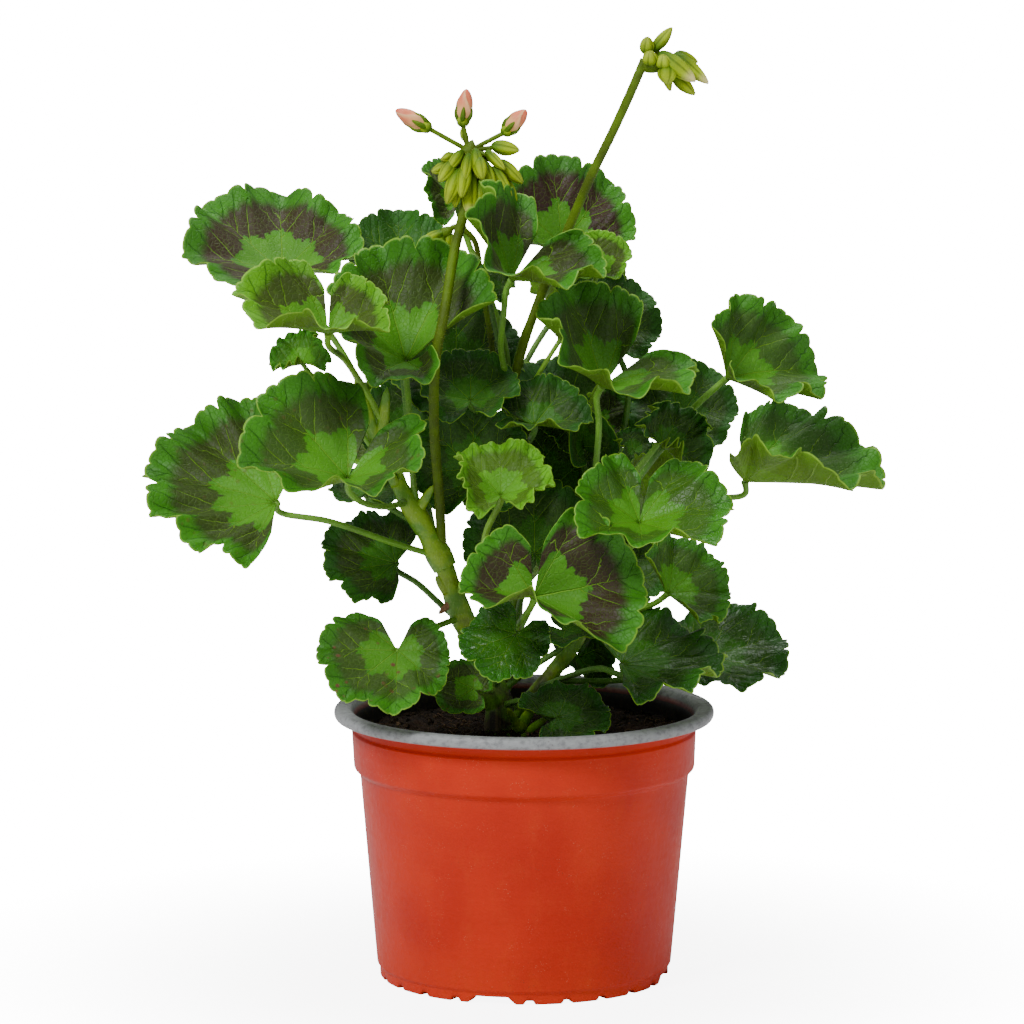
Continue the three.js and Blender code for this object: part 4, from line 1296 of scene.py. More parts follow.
RIGHT_HEAD = FlowerHead(
    "bud_head_right",
    ((-4.6, 8, 234), (1, 7, 254), (8, 8, 273), (16.6, 6, 294), (26.3, 2, 317), (34.7, 0, 334.5),
     (42.4, -4, 352), (46.6, -4, 362)),
    1.8,
    ((44.5, -4, 358), (58, -4, 363.5), 3.6),
    (
        Bud((49.4, -4, 365), (57.2, -3, 374.4), 1.9),
        Bud((47, -5, 364), (47.6, -7, 371), 2.2),
        Bud((48.6, -6, 360), (48.4, -10, 365.5), 2.3),
        Bud((53.8, -6, 358.6), (53.6, -9, 364), 2.4),
        Bud((55.4, -6, 360), (55, -8, 352.6), 2.9),
        Bud((54.6, -2, 358), (56.6, -2, 349.6), 1.4),
        Bud((52, -5, 365), (66.2, -7, 353.6), 2.7, 1.0),
        Bud((58, -2, 364.5), (71.4, -3, 352.6), 2.2, 1.0),
        Bud((58.6, 1, 364.6), (67.4, 2, 360.6), 1.6),
        Bud((57, -1, 357), (66.2, -2, 348.2), 2.1),
    ),
)
SMALL_HEAD = FlowerHead(
    "bud_head_small",
    ((-5, 10, 214), (-10, 16, 232), (-14, 18, 256), (-17, 16, 276), (-20, 13, 291), (-27, 10, 296),
     (-31, 9, 293)),
    1.1,
    ((-28, 9, 296), (-34, 8, 291), 2.4),
    (
        Bud((-31, 8, 294), (-41, 7, 289), 2),
        Bud((-31, 8, 292), (-36, 5, 286.6), 1.7),
        Bud((-29, 9, 294), (-30, 7, 286.6), 1.6),
    ),
)
SEPALS = 5


def between(start: Sequence[float], end: Sequence[float], share: float) -> Array:
    """The point a share of the way from one point to another."""
    return np.asarray(start, float) * (1 - share) + np.asarray(end, float) * share


def reshaped(patch: Patch, start: Array, end: Array, factor: Array) -> Patch:
    """Makes a body around an axis thicker or thinner.

    Each point keeps its place along the axis, and its distance from the axis is multiplied.

    Args:
        patch: The body.
        start: One end of the axis.
        end: The other end.
        factor: The factor at each point.

    Returns:
        The same body.
    """
    axis = unit(np.subtract(end, start))
    middle = between(start, end, 0.5) * MM
    offset = patch.points - middle
    along = (offset @ axis)[:, None] * axis
    patch.points = middle + along + (offset - along) * factor[:, None]
    return patch


@dataclass
class FlowerHeadMaker:
    """Makes the clusters of buds and the petals that stand out of them.

    Shares of an opening bud run from its calyx's foot to the petals' tip.
    """

    skin: Material
    petal: Material
    stalk_steps: int = 80
    stalk_sides: int = 18
    stalk_hairs: int = 1100
    stalk_hair: float = 0.75
    bud_sides: int = 30
    bud_rings: int = 18
    bud_swell: float = 1.32
    bud_blunt: float = 0.6
    bud_ridge: float = 0.05
    bud_hairs: int = 110
    bud_hair: float = 0.8
    pedicel_steps: int = 14
    pedicel_sides: int = 10
    pedicel_radius: float = 0.95
    pedicel_hairs: int = 30
    pedicel_hair: float = 0.6
    calyx_radius: float = 2.9
    cup_radius: float = 0.68
    cup_share: float = 0.38
    sepal_share: float = 0.67
    sepal_radius: float = 1.05
    sepal_steps: int = 12
    sepal_sides: int = 8
    petal_foot: float = 0.17
    petal_radius: float = 3.5
    petal_sides: int = 60
    petal_rings: int = 30
    petal_blunt: float = 0.55
    petal_step: float = 0.14

    def bud(self, base: Array, tip: Array, radius: float, pale: float) -> Patch:
        """A bud with five ridges where its sepals meet.

        The ridges make it thicker by a small share times the cosine of five turns around it, times
        the sine of half a turn along it.

        Args:
            base: Where its stalk ends.
            tip: Its point.
            radius: Its radius before it swells.
            pale: How white its tip is.

        Returns:
            The bud.
        """
        size = self.bud_swell * radius
        bud = spindle_patch(base, tip, size, self.bud_sides, self.bud_rings, self.bud_blunt)
        along = np.sin(math.pi * bud.uv[:, 1])
        ridge = 1 + self.bud_ridge * np.cos(SEPALS * TURN * bud.uv[:, 0]) * along
        return painted(reshaped(bud, base, tip, ridge), pale=pale, bud=1)

    def make(self, head: FlowerHead) -> None:
        """Builds one head and its opening petals.

        Args:
            head: The head.
        """
        path = curve_through(head.stalk, self.stalk_steps)
        radii = np.full(self.stalk_steps, head.radius)
        stalk = painted(tube_patch(path, radii, self.stalk_sides), pale=0, bud=0)
        hairs = down_patch(stalk, self.stalk_sides, self.stalk_hairs, self.stalk_hair, 7)
        start, end, core_radius = head.core
        centre = between(start, end, 0.5)
        patches = [stalk, hairs, painted(spindle_patch(start, end, core_radius), pale=0, bud=0)]
        for bud in head.buds:
            patches += self.hang(centre, bud)
        for opening in head.opening:
            patches += self.calyx(centre, opening)
            self.petals(opening)
        name = head.node.replace("bud_head", "flower_head")
        add_piece(name, head.node, "bud_skin", patches, self.skin)

    def hang(self, centre: Array, bud: Bud) -> list[Patch]:
        """A bud and the thin stalk that carries it, both with hairs.

        Args:
            centre: Middle of the cluster's core.
            bud: The bud.

        Returns:
            The stalk, the bud and their hairs.
        """
        ends = [between(centre, bud.base, 0.1), between(bud.base, bud.tip, 0.3)]
        route = curve_through(ends, self.pedicel_steps)
        radii = np.full(self.pedicel_steps, self.pedicel_radius)
        pedicel = tube_patch(route, radii, self.pedicel_sides)
        body = self.bud(bud.base, bud.tip, bud.radius, bud.pale)
        down = [
            down_patch(body, self.bud_sides, self.bud_hairs, self.bud_hair, 11),
            down_patch(pedicel, self.pedicel_sides, self.pedicel_hairs, self.pedicel_hair, 12),
        ]
        return [painted(pedicel, pale=0, bud=0), body, *down]

    def calyx(self, centre: Array, opening: OpeningBud) -> list[Patch]:
        """The cup under the petals with its pointed sepals, and the thin stalk that carries it.

        Args:
            centre: Middle of the cluster's core.
            opening: The opening bud.

        Returns:
            The stalk, the cup and the sepals.
        """
        base, tip = np.asarray(opening.base, float), np.asarray(opening.tip, float)
        axis = unit(tip - base)
        side = unit(np.cross(axis, (0.0, 1.0, 0.0)))
        other = np.cross(axis, side)
        cup = Bud(base, between(base, tip, self.cup_share), self.calyx_radius * self.cup_radius, 0)
        patches = self.hang(centre, cup)
        share = np.linspace(0, 1, self.sepal_steps)
        radii = self.sepal_radius * np.maximum(np.sin(math.pi * share**0.7), 0.05)
        for number in range(SEPALS):
            turn = TURN * (number + 0.2) / SEPALS
            out = side * math.cos(turn) + other * math.sin(turn)
            foot = between(base, tip, 0.06) + 0.9 * out
            middle = between(base, tip, 0.36) + self.calyx_radius * out
            point = between(base, tip, self.sepal_share) + 2.7 * out
            path = curve_through([foot, middle, point], self.sepal_steps)
            sepal = tube_patch(path, radii, self.sepal_sides)
            sepal = with_shares(sepal, share, self.sepal_sides, 0.4)
            patches.append(painted(sepal, pale=0, bud=0.75))
        return patches

    def petals(self, opening: OpeningBud) -> None:
        """Furled petals: the radius steps down at each petal's edge, which winds around the axis.

        Args:
            opening: The opening bud.
        """
        start, tip = between(opening.base, opening.tip, self.petal_foot), opening.tip
        shape = (self.petal_sides, self.petal_rings, self.petal_blunt)
        furled = spindle_patch(start, tip, self.petal_radius, *shape)
        winding = (3 * furled.uv[:, 0] + 0.9 * furled.uv[:, 1]) % 1
        furled = reshaped(furled, start, tip, 1 - self.petal_step + self.petal_step * winding)
        painted(furled, edge=winding)
        name = opening.node.replace("petals", "furled")
        add_piece(name, opening.node, "petals", [furled], self.petal)


# ---- Finishes ----
class Graph:
    """Adds nodes to a node tree one at a time; each call returns the new node's output."""

    def __init__(self, tree: Tree) -> None:
        """Takes the tree that the nodes go into."""
        self.tree = tree

    def feed(self, socket: Socket, value: Feed) -> None:
        """Links an output to a socket, or sets the socket's own value.

        Args:
            socket: The input.
            value: An output, a number or a colour.
        """
        if isinstance(value, Socket):
            self.tree.links.new(value, socket)
        else:
            socket.default_value = value

    def add(
        self, kind: str, feeds: Optional[dict[str | int, Feed]] = None, output: str | int = 0,
        **settings: str | float | Tree,
    ) -> Socket:
        """Adds one node.

        Args:
            kind: The node's type, less its leading ShaderNode.
            feeds: What each named or numbered input takes.
            output: The output to return.
            settings: Properties of the node.

        Returns:
            The chosen output.
        """
        node = self.tree.nodes.new("ShaderNode" + kind)
        for name, value in settings.items():
            setattr(node, name, value)
        for name, value in (feeds or {}).items():
            self.feed(node.inputs[name], value)
        return node.outputs[output]

    def math(self, operation: str, *values: Feed) -> Socket:
        """One sum on one to three values."""
        return self.add("Math", dict(enumerate(values)), operation=operation)

    def plus(self, first: Feed, second: Feed) -> Socket:
        """The sum of two values."""
        return self.math("ADD", first, second)

    def less(self, first: Feed, second: Feed) -> Socket:
        """The first value less the second."""
        return self.math("SUBTRACT", first, second)

    def times(self, first: Feed, second: Feed) -> Socket:
        """The product of two values."""
        return self.math("MULTIPLY", first, second)

    def scaled(self, value: Feed, factor: Feed, offset: Feed) -> Socket:
        """A value times a factor, plus an offset."""
        return self.math("MULTIPLY_ADD", value, factor, offset)

    def most(self, first: Feed, second: Feed) -> Socket:
        """The larger of two values."""
        return self.math("MAXIMUM", first, second)

    def blend(self, share: Feed, low: Feed, high: Feed, kind: str = "MIX") -> Socket:
        """Goes from one colour to another by a share."""
        return self.add("Mix", {0: share, 6: low, 7: high}, 2, data_type="RGBA", blend_type=kind)

    def shaded(self, colour: Feed, shade: Feed) -> Socket:
        """A colour with each of its channels times a shade."""
        return self.blend(1.0, colour, self.joined(shade, shade, shade), "MULTIPLY")

    def step(
        self, value: Feed, low: Feed, high: Feed, to_low: Feed = 0.0, to_high: Feed = 1.0
    ) -> Socket:
        """Soft step of a value from to_low at low to to_high at high."""
        ends = {"From Min": low, "From Max": high, "To Min": to_low, "To Max": to_high}
        return self.add("MapRange", {"Value": value, **ends}, interpolation_type="SMOOTHSTEP")

    def noise(self, place: Feed, scale: Feed, detail: float = 3.0, rough: float = 0.55) -> Socket:
        """Soft random values of 0 to 1 with a mean of one half."""
        feeds = {"Vector": place, "Scale": scale, "Detail": detail, "Roughness": rough}
        return self.add("TexNoise", feeds)

    def cells(self, place: Feed, scale: float, feature: str = "DISTANCE_TO_EDGE") -> Socket:
        """Distance to the nearest edge or middle of random cells."""
        feeds = {"Vector": place, "Scale": scale}
        return self.add("TexVoronoi", feeds, "Distance", feature=feature)

    def spots(
        self, place: Feed, scale: float, size: tuple[float, float], where: Socket
    ) -> Socket:
        """Round spots with soft edges, kept where a mask lets them.

        Args:
            place: Position on the object.
            scale: Cells in a metre; each holds one spot.
            size: Distance from a spot's middle where it ends and where it is full.
            where: Mask of 0 to 1.

        Returns:
            A mask of 0 to 1.
        """
        return self.times(self.step(self.cells(place, scale, "F1"), *size), where)

    def painted(self, name: str) -> Socket:
        """The value painted on the mesh under a name."""
        return self.add("Attribute", output="Fac", attribute_name=name)

    def object_place(self) -> Socket:
        """Position on the object, in metres."""
        return self.add("TexCoord", output="Object")

    def surface_place(self) -> tuple[Socket, Socket]:
        """The surface's own U and V."""
        place = self.add("SeparateXYZ", {0: self.add("UVMap", uv_map="surface")})
        return place, place.node.outputs[1]

    def joined(self, x: Feed, y: Feed, z: Feed = 0.0) -> Socket:
        """A position made of three values."""
        return self.add("CombineXYZ", {0: x, 1: y, 2: z})

    def streaks(
        self, across: tuple[Feed, float], along: tuple[Feed, float], detail: float = 3.0,
        rough: float = 0.55,
    ) -> Socket:
        """Noise drawn out into streaks.

        Args:
            across: The coordinate across the streaks, and streaks in one unit of it.
            along: The coordinate along the streaks, and streaks in one unit of it.
            detail: Detail of the noise.
            rough: Roughness of the noise.

        Returns:
            Values of 0 to 1.
        """
        return self.noise(self.joined(self.times(*across), self.times(*along)), 1.0, detail, rough)

    def bump(self, height: Feed, distance: float, strength: float = 1.0) -> Socket:
        """A normal tilted by a height of 0 to 1 times a distance in metres."""
        return self.add("Bump", {"Height": height, "Distance": distance, "Strength": strength})


def shared_effect(
    name: str, inputs: dict[str, float], outputs: Sequence[str],
    fill: Callable[[Graph, dict[str, Socket]], dict[str, Feed]],
) -> Tree:
    """Makes an effect that several finishes use, as a node group.

    Args:
        name: The group's name.
        inputs: Its number inputs with their usual values.
        outputs: Its number outputs.
        fill: Adds the group's nodes, given its inputs, and returns what feeds each output.

    Returns:
        The group; one made before under the same name is used again.
    """
    if name in bpy.data.node_groups:
        return bpy.data.node_groups[name]
    tree = bpy.data.node_groups.new(name, "ShaderNodeTree")
    for label, value in inputs.items():
        socket = tree.interface.new_socket(label, in_out="INPUT", socket_type="NodeSocketFloat")
        socket.default_value = value
    for label in outputs:
        tree.interface.new_socket(label, in_out="OUTPUT", socket_type="NodeSocketFloat")
    graph = Graph(tree)
    start = tree.nodes.new("NodeGroupInput")
    end = tree.nodes.new("NodeGroupOutput")
    feeds = fill(graph, {label: start.outputs[label] for label in inputs})
    for label in outputs:
        graph.feed(end.inputs[label], feeds[label])
    return tree


def mottle_effect() -> Tree:
    """Uneven colour of living or weathered surfaces: broad clouds and fine grain, each 0 to 1.

    Returns:
        The shared effect.
    """

    def fill(graph: Graph, given: dict[str, Socket]) -> dict[str, Feed]:
        """Two noises at the given scales, the broad one made steeper.

        Args:
            graph: The group's graph.
            given: The group's inputs.

        Returns:
            What feeds each output.
        """
        place = graph.object_place()
        broad, fine = (
            graph.add("TexNoise", {"Vector": place, "Scale": given[scale], "Detail": detail})
            for scale, detail in (("Broad scale", 2.0), ("Fine scale", 4.0))
        )
        return {"Broad": graph.step(broad, 0.3, 0.7), "Fine": fine}

    usual = {"Broad scale": 40.0, "Fine scale": 900.0}
    return shared_effect("mottle", usual, ("Broad", "Fine"), fill)


def down_effect() -> Tree:
    """Short soft hairs: pale flecks that are longer than wide, and their height.

    Returns:
        The shared effect.
    """

    def fill(graph: Graph, given: dict[str, Socket]) -> dict[str, Feed]:
        """Noise on places that are squeezed along the height, kept where it is strongest.

        Args:
            graph: The group's graph.
            given: The group's inputs.

        Returns:
            What feeds each output.
        """
        long = {"Vector": graph.object_place(), "Scale": (1.0, 1.0, 0.35)}
        feeds = {"Vector": graph.add("Mapping", long), "Scale": given["Scale"], "Detail": 1.0}
        hairs = graph.add("TexNoise", feeds)
        flecks = graph.step(hairs, 0.58, 0.72)
        return {"Flecks": graph.times(flecks, given["Amount"]), "Height": hairs}

    usual = {"Scale": 2600.0, "Amount": 0.35}
    return shared_effect("down", usual, ("Flecks", "Height"), fill)


class Surface:
    """A material that is being made: its graph, its shader and what every finish asks of them."""

    def __init__(self, name: str) -> None:
        """Makes an empty material with one shader.

        Args:
            name: The material's name.
        """
        self.material = bpy.data.materials.new(name)
        self.material.use_nodes = True
        self.graph = Graph(self.material.node_tree)
        self.shader = self.material.node_tree.nodes["Principled BSDF"]

    def effect(self, tree: Tree, **values: Feed) -> dict[str, Socket]:
        """Places a shared effect.

        Args:
            tree: The effect.
            values: What feeds its inputs, with _ for a space in their names.

        Returns:
            Its outputs by name.
        """
        node = self.graph.tree.nodes.new("ShaderNodeGroup")
        node.node_tree = tree
        for label, value in values.items():
            self.graph.feed(node.inputs[label.replace("_", " ")], value)
        return {output.name: output for output in node.outputs}

    def mottle(self, broad: float, fine: float) -> tuple[Socket, Socket]:
        """Broad clouds and fine grain at these scales, in cells a metre."""
        made = self.effect(mottle_effect(), Broad_scale=broad, Fine_scale=fine)
        return made["Broad"], made["Fine"]

    def dress(self, colour: Feed, rough: Feed, normal: Feed, **even: float) -> Material:
        """Feeds the shader.

        Args:
            colour: Base colour.
            rough: Roughness.
            normal: Normal.
            even: Settings that are the same all over, with _ for a space in their names.

        Returns:
            The finished material.
        """
        for label, value in (("Base Color", colour), ("Roughness", rough), ("Normal", normal)):
            self.graph.feed(self.shader.inputs[label], value)
        for label, value in even.items():
            self.shader.inputs[label.replace("_", " ")].default_value = value
        return self.material


@dataclass(frozen=True)
class BladeFinish:
    """Leaf blade: green with a dark brown horseshoe band, palmate veins and a thin painted
    highlight along the margin.

    Places along a blade are shares of its reach; scales are cells in a metre.
    """

    dark: Colour = (0.008, 0.068, 0.003, 1)
    middle: Colour = (0.040, 0.205, 0.004, 1)
    young: Colour = (0.170, 0.480, 0.006, 1)
    centre: Colour = (0.090, 0.300, 0.010, 1)
    band_brown: Colour = (0.022, 0.009, 0.006, 1)
    band_light: Colour = (0.048, 0.021, 0.012, 1)
    # Colour of the painted highlight: a pale line where light catches the thin margin.
    rim: Colour = (0.30, 0.55, 0.05, 1)
    vein: Colour = (0.22, 0.47, 0.03, 1)
    line: Colour = (0.012, 0.075, 0.006, 1)
    lower: Colour = (0.11, 0.26, 0.006, 1)
    lower_vein: Colour = (0.26, 0.47, 0.06, 1)
    dry: Colour = (0.12, 0.055, 0.02, 1)
    lobe_width: float = 0.84
    side_veins: float = 5.6
    vein_slope: float = 1.3
    vein_foot: float = 0.010
    vein_tip: float = 0.0025
    main_strength: float = 0.62
    side_strength: float = 0.55
    net_strength: float = 0.10
    net_scale: float = 520
    band_start: float = 0.42
    band_end: float = 0.74
    band_soft: float = 0.012
    # Where the painted highlight along the margin starts and is full, as shares of the reach, and
    # how strong it is.
    margin_highlight_start: float = 0.978
    margin_highlight_full: float = 0.994
    margin_highlight_strength: float = 0.6
    rough: float = 0.40
    relief: float = 0.0007

    def veins(self, graph: Graph, u: Feed, v: Feed, wobble: Feed) -> dict[str, Socket]:
        """The vein pattern.

        A main vein runs up the middle of each lobe. With d the distance from it and v the distance
        from the stalk, side veins lie where v less slope times d is at even steps, so they lean
        outwards.

        Args:
            graph: The finish's graph.
            u: Lobes counted along the margin.
            v: Share of the reach.
            wobble: Soft random value that bends the lines.

        Returns:
            main and side (masks), step (0 at a side vein, 0.5 midway between two) and x (place
            across the lobe, -0.5 to 0.5).
        """
        x = graph.less(graph.math("FRACT", graph.plus(u, graph.times(wobble, 0.10))), 0.5)
        across = graph.times(graph.times(graph.math("ABSOLUTE", x), v), self.lobe_width)
        width = graph.step(v, 0.0, 1.0, self.vein_foot, self.vein_tip)
        main = graph.step(across, width, graph.times(width, 0.25))
        lead = graph.less(v, graph.times(across, self.vein_slope))
        count = graph.scaled(lead, self.side_veins, graph.times(graph.math("SIGN", x), 0.22))
        ramp = graph.math("FRACT", graph.scaled(wobble, 0.5, count))
        away = graph.math("ABSOLUTE", graph.less(ramp, 0.5))
        side = graph.times(graph.step(away, 0.065, 0.015), graph.step(lead, 0.30, 0.42))
        side = graph.times(side, graph.step(v, 1.0, 0.9))
        return {"main": main, "side": side, "step": away, "x": x}

    def band(self, graph: Graph, u: Feed, v: Feed, jag: Feed, veins: dict[str, Socket]) -> Socket:
        """The dark band: sharp and jagged towards the stalk, rayed and soft towards the margin.

        Args:
            graph: The finish's graph.
            u: Lobes counted along the margin.
            v: Share of the reach.
            jag: Soft random value that makes the inner edge uneven.
            veins: The vein pattern; the inner edge peaks on main veins and steps at side veins.

        Returns:
            A mask of 0 to 1, times the leaf's painted zone.
        """
        off_vein = graph.math("ABSOLUTE", veins["x"])
        peak = graph.step(off_vein, 0.0, 0.5, 0.075, -0.005)
        inner = graph.plus(graph.scaled(jag, 0.16, self.band_start), peak)
        inner = graph.scaled(veins["step"], 0.07, inner)
        soft = self.band_soft
        start = graph.step(v, graph.less(inner, soft), graph.plus(inner, soft))
        rays = graph.streaks((u, 9.0), (v, 2.2))
        outer = graph.scaled(off_vein, 0.05, graph.scaled(rays, 0.16, self.band_end))
        end = graph.step(v, graph.plus(outer, 0.05), graph.less(outer, 0.09))
        return graph.times(graph.times(start, end), graph.painted("zone"))

    def make(self) -> Material:
        """Builds the finish from the painted tone, band, gloss, specks and side of the sheet.

        Returns:
            The material.
        """
        surface = Surface("leaf_blade")
        graph = surface.graph
        u, v = graph.surface_place()
        place = graph.object_place()
        clouds, grain = surface.mottle(34.0, 1300.0)
        under, tone = graph.painted("under"), graph.painted("tone")
        veins = self.veins(graph, u, v, graph.less(graph.noise(place, 170, 2), 0.5))
        net = graph.step(graph.cells(place, self.net_scale), 0.10, 0.0)

        green = graph.blend(graph.step(tone, -1.0, 0.0), self.dark, self.middle)
        green = graph.blend(graph.step(tone, 0.0, 1.0), green, self.young)
        clear = graph.times(graph.step(v, 0.56, 0.36), graph.step(tone, -1.1, 0.1))
        green = graph.blend(graph.times(clear, 0.75), green, self.centre)
        shade = graph.scaled(clouds, 0.42, 0.76)
        green = graph.shaded(green, shade)
        band = self.band(graph, u, v, graph.less(graph.noise(place, 330, 3, 0.7), 0.5), veins)
        upper = graph.blend(band, green, graph.blend(grain, self.band_brown, self.band_light))

        pale = graph.blend(graph.step(v, 0.66, 0.82), self.vein, self.line)
        thin = graph.most(
            graph.times(veins["side"], self.side_strength), graph.times(net, self.net_strength)
        )
        vein = graph.most(graph.times(veins["main"], self.main_strength), thin)
        upper = graph.blend(vein, upper, pale)
        lower = graph.blend(graph.times(band, 0.5), self.lower, self.band_light)
        lower = graph.blend(vein, graph.shaded(lower, shade), self.lower_vein)
        colour = graph.blend(under, upper, lower)
        patches = graph.step(graph.noise(place, 90, 2), 0.5, 0.62)
        spots = graph.spots(place, 240, (0.30, 0.16), patches)
        colour = graph.blend(graph.times(spots, graph.painted("specks")), colour, self.dry)
        # Painted highlight: a pale line along the margin where light catches the thin edge.
        rim = graph.times(graph.step(v, self.margin_highlight_start, self.margin_highlight_full), self.margin_highlight_strength)
        colour = graph.blend(rim, colour, self.rim)

        dull = graph.scaled(graph.painted("gloss"), -0.24, graph.scaled(grain, 0.22, self.rough))
        puff = graph.times(veins["step"], graph.step(v, 0.25, 0.5))
        lines = graph.most(veins["main"], graph.times(veins["side"], 0.7))
        relief = graph.less(graph.times(puff, 0.9), lines)
        relief = graph.times(relief, graph.scaled(under, -2.0, 1.0))
        relief = graph.scaled(grain, 0.3, graph.scaled(net, -0.22, relief))
        rough = graph.scaled(under, 0.12, dull)
        normal = graph.bump(relief, self.relief, 0.8)
        return surface.dress(colour, rough, normal, Specular_IOR_Level=0.28)


@dataclass(frozen=True)
class StalkFinish:
    """Leaf stalk: fresh green, paler and yellower on young leaves, with short soft hairs."""

    dark: Colour = (0.030, 0.13, 0.005, 1)
    middle: Colour = (0.12, 0.31, 0.012, 1)
    young: Colour = (0.24, 0.48, 0.02, 1)
    down: Colour = (0.42, 0.60, 0.16, 1)
    furrows: int = 4
    relief: float = 0.0003

    def make(self) -> Material:
        """Builds the finish from the painted tone and hair.

        Returns:
            The material.
        """
        surface = Surface("leaf_stalk")
        graph = surface.graph
        clouds, grain = surface.mottle(70.0, 1100.0)
        down = surface.effect(down_effect(), Amount=0.30)
        u, _ = graph.surface_place()
        tone = graph.painted("tone")
        green = graph.blend(graph.step(tone, -1.0, 0.0), self.dark, self.middle)
        green = graph.blend(graph.step(tone, 0.0, 1.0), green, self.young)
        green = graph.shaded(green, graph.scaled(clouds, 0.4, 0.75))
        hair = graph.most(down["Flecks"], graph.times(graph.painted("hair"), 0.8))
        colour = graph.blend(hair, green, self.down)
        furrow = graph.math("COSINE", graph.times(u, self.furrows * TURN))
        normal = graph.bump(graph.scaled(furrow, 0.25, down["Height"]), self.relief, 0.7)
        return surface.dress(colour, graph.scaled(grain, 0.2, 0.42), normal, Sheen_Weight=0.05)


@dataclass(frozen=True)
class BarkFinish:
    """Stem skin: corky brown on the old trunk, fresh yellow-green on young shoots and nodes."""

    cork: Colour = (0.085, 0.062, 0.022, 1)
    crack: Colour = (0.022, 0.018, 0.008, 1)
    green: Colour = (0.11, 0.29, 0.012, 1)
    fresh: Colour = (0.25, 0.43, 0.008, 1)
    dry: Colour = (0.30, 0.14, 0.055, 1)
    down: Colour = (0.50, 0.62, 0.26, 1)
    relief: float = 0.0009

    def make(self) -> Material:
        """Builds the finish from the painted woody share and dryness.

        Returns:
            The material.
        """
        surface = Surface("stem_skin")
        graph = surface.graph
        clouds, _ = surface.mottle(95.0, 700.0)
        down = surface.effect(down_effect(), Amount=0.25)
        u, v = graph.surface_place()
        woody = graph.painted("woody")
        patch = graph.scaled(graph.less(clouds, 0.5), 0.7, woody)
        streak = graph.streaks((u, 16.0), (v, 0.12))
        bark = graph.blend(graph.step(streak, 0.42, 0.62), self.crack, self.cork)
        fresh = graph.blend(graph.step(clouds, 0.2, 0.9), self.green, self.fresh)
        colour = graph.blend(graph.step(patch, 0.3, 0.85), fresh, bark)
        colour = graph.blend(graph.painted("dry"), colour, self.dry)
        hairs = graph.times(down["Flecks"], graph.step(woody, 0.8, 0.1))
        colour = graph.blend(hairs, colour, self.down)
        grain = graph.noise(graph.object_place(), 800)
        relief = graph.scaled(grain, 0.4, graph.times(streak, woody))
        normal = graph.bump(relief, self.relief, 0.7)
        return surface.dress(colour, graph.scaled(woody, 0.35, 0.42), normal)


@dataclass(frozen=True)
class BudFinish:
    """Buds and flower stalks: hairy yellow-green, sepals with darker seams and cream points."""

    stalk: Colour = (0.10, 0.19, 0.001, 1)
    stalk_dark: Colour = (0.060, 0.100, 0.001, 1)
    sepal: Colour = (0.36, 0.50, 0.0002, 1)
    sepal_base: Colour = (0.060, 0.160, 0.001, 1)
    seam: Colour = (0.030, 0.080, 0.001, 1)
    cream: Colour = (0.78, 0.70, 0.26, 1)
    down: Colour = (0.48, 0.58, 0.10, 1)
    relief: float = 0.0004

    def make(self) -> Material:
        """Builds the finish from the painted bud share, how pale its point is, and hair.

        Returns:
            The material.
        """
        surface = Surface("bud_skin")
        graph = surface.graph
        clouds, grain = surface.mottle(110.0, 1500.0)
        down = surface.effect(down_effect(), Scale=3000.0, Amount=0.3)
        u, v = graph.surface_place()
        bud = graph.painted("bud")
        stalk = graph.blend(clouds, self.stalk_dark, self.stalk)
        sepal = graph.blend(graph.step(v, 0.05, 0.75), self.sepal_base, self.sepal)
        ridge = graph.math("COSINE", graph.times(u, SEPALS * TURN))
        sepal = graph.blend(graph.step(ridge, -0.55, -0.98, 0.0, 0.55), sepal, self.seam)
        point = graph.times(graph.step(v, 0.66, 0.96), graph.painted("pale"))
        sepal = graph.shaded(graph.blend(point, sepal, self.cream), graph.scaled(clouds, 0.3, 0.82))
        flecks = graph.times(down["Flecks"], graph.scaled(bud, 0.2, 0.15))
        flecks = graph.most(flecks, graph.times(graph.painted("hair"), 0.75))
        colour = graph.blend(flecks, graph.blend(bud, stalk, sepal), self.down)
        relief = graph.scaled(graph.times(ridge, bud), 0.3, down["Height"])
        normal = graph.bump(relief, self.relief, 0.7)
        rough = graph.scaled(grain, 0.2, 0.45)
        return surface.dress(colour, rough, normal, Specular_IOR_Level=0.25)


@dataclass(frozen=True)
class PetalFinish:
    """Furled petals: cream at the foot, salmon-pink towards the tip, with fine lengthwise veins."""

    foot: Colour = (0.84, 0.42, 0.16, 1)
    body: Colour = (0.86, 0.20, 0.08, 1)
    tip: Colour = (0.84, 0.12, 0.05, 1)
    edge: Colour = (0.90, 0.50, 0.22, 1)
    vein: Colour = (0.66, 0.10, 0.06, 1)
    relief: float = 0.0003

    def make(self) -> Material:
        """Builds the finish from the painted winding of the petals' edges.

        Returns:
            The material.
        """
        surface = Surface("petal")
        graph = surface.graph
        clouds, grain = surface.mottle(160.0, 1500.0)
        u, v = graph.surface_place()
        lines = graph.streaks((u, 26.0), (v, 1.6), 2)
        colour = graph.blend(graph.step(v, 0.30, 0.72), self.foot, self.body)
        colour = graph.blend(graph.step(v, 0.80, 1.0), colour, self.tip)
        colour = graph.blend(graph.step(graph.painted("edge"), 0.62, 0.95), colour, self.edge)
        colour = graph.blend(graph.step(lines, 0.56, 0.70, 0.0, 0.4), colour, self.vein)
        colour = graph.shaded(colour, graph.scaled(clouds, 0.25, 0.85))
        normal = graph.bump(lines, self.relief, 0.6)
        return surface.dress(colour, graph.scaled(grain, 0.2, 0.4), normal, Sheen_Weight=0.2)


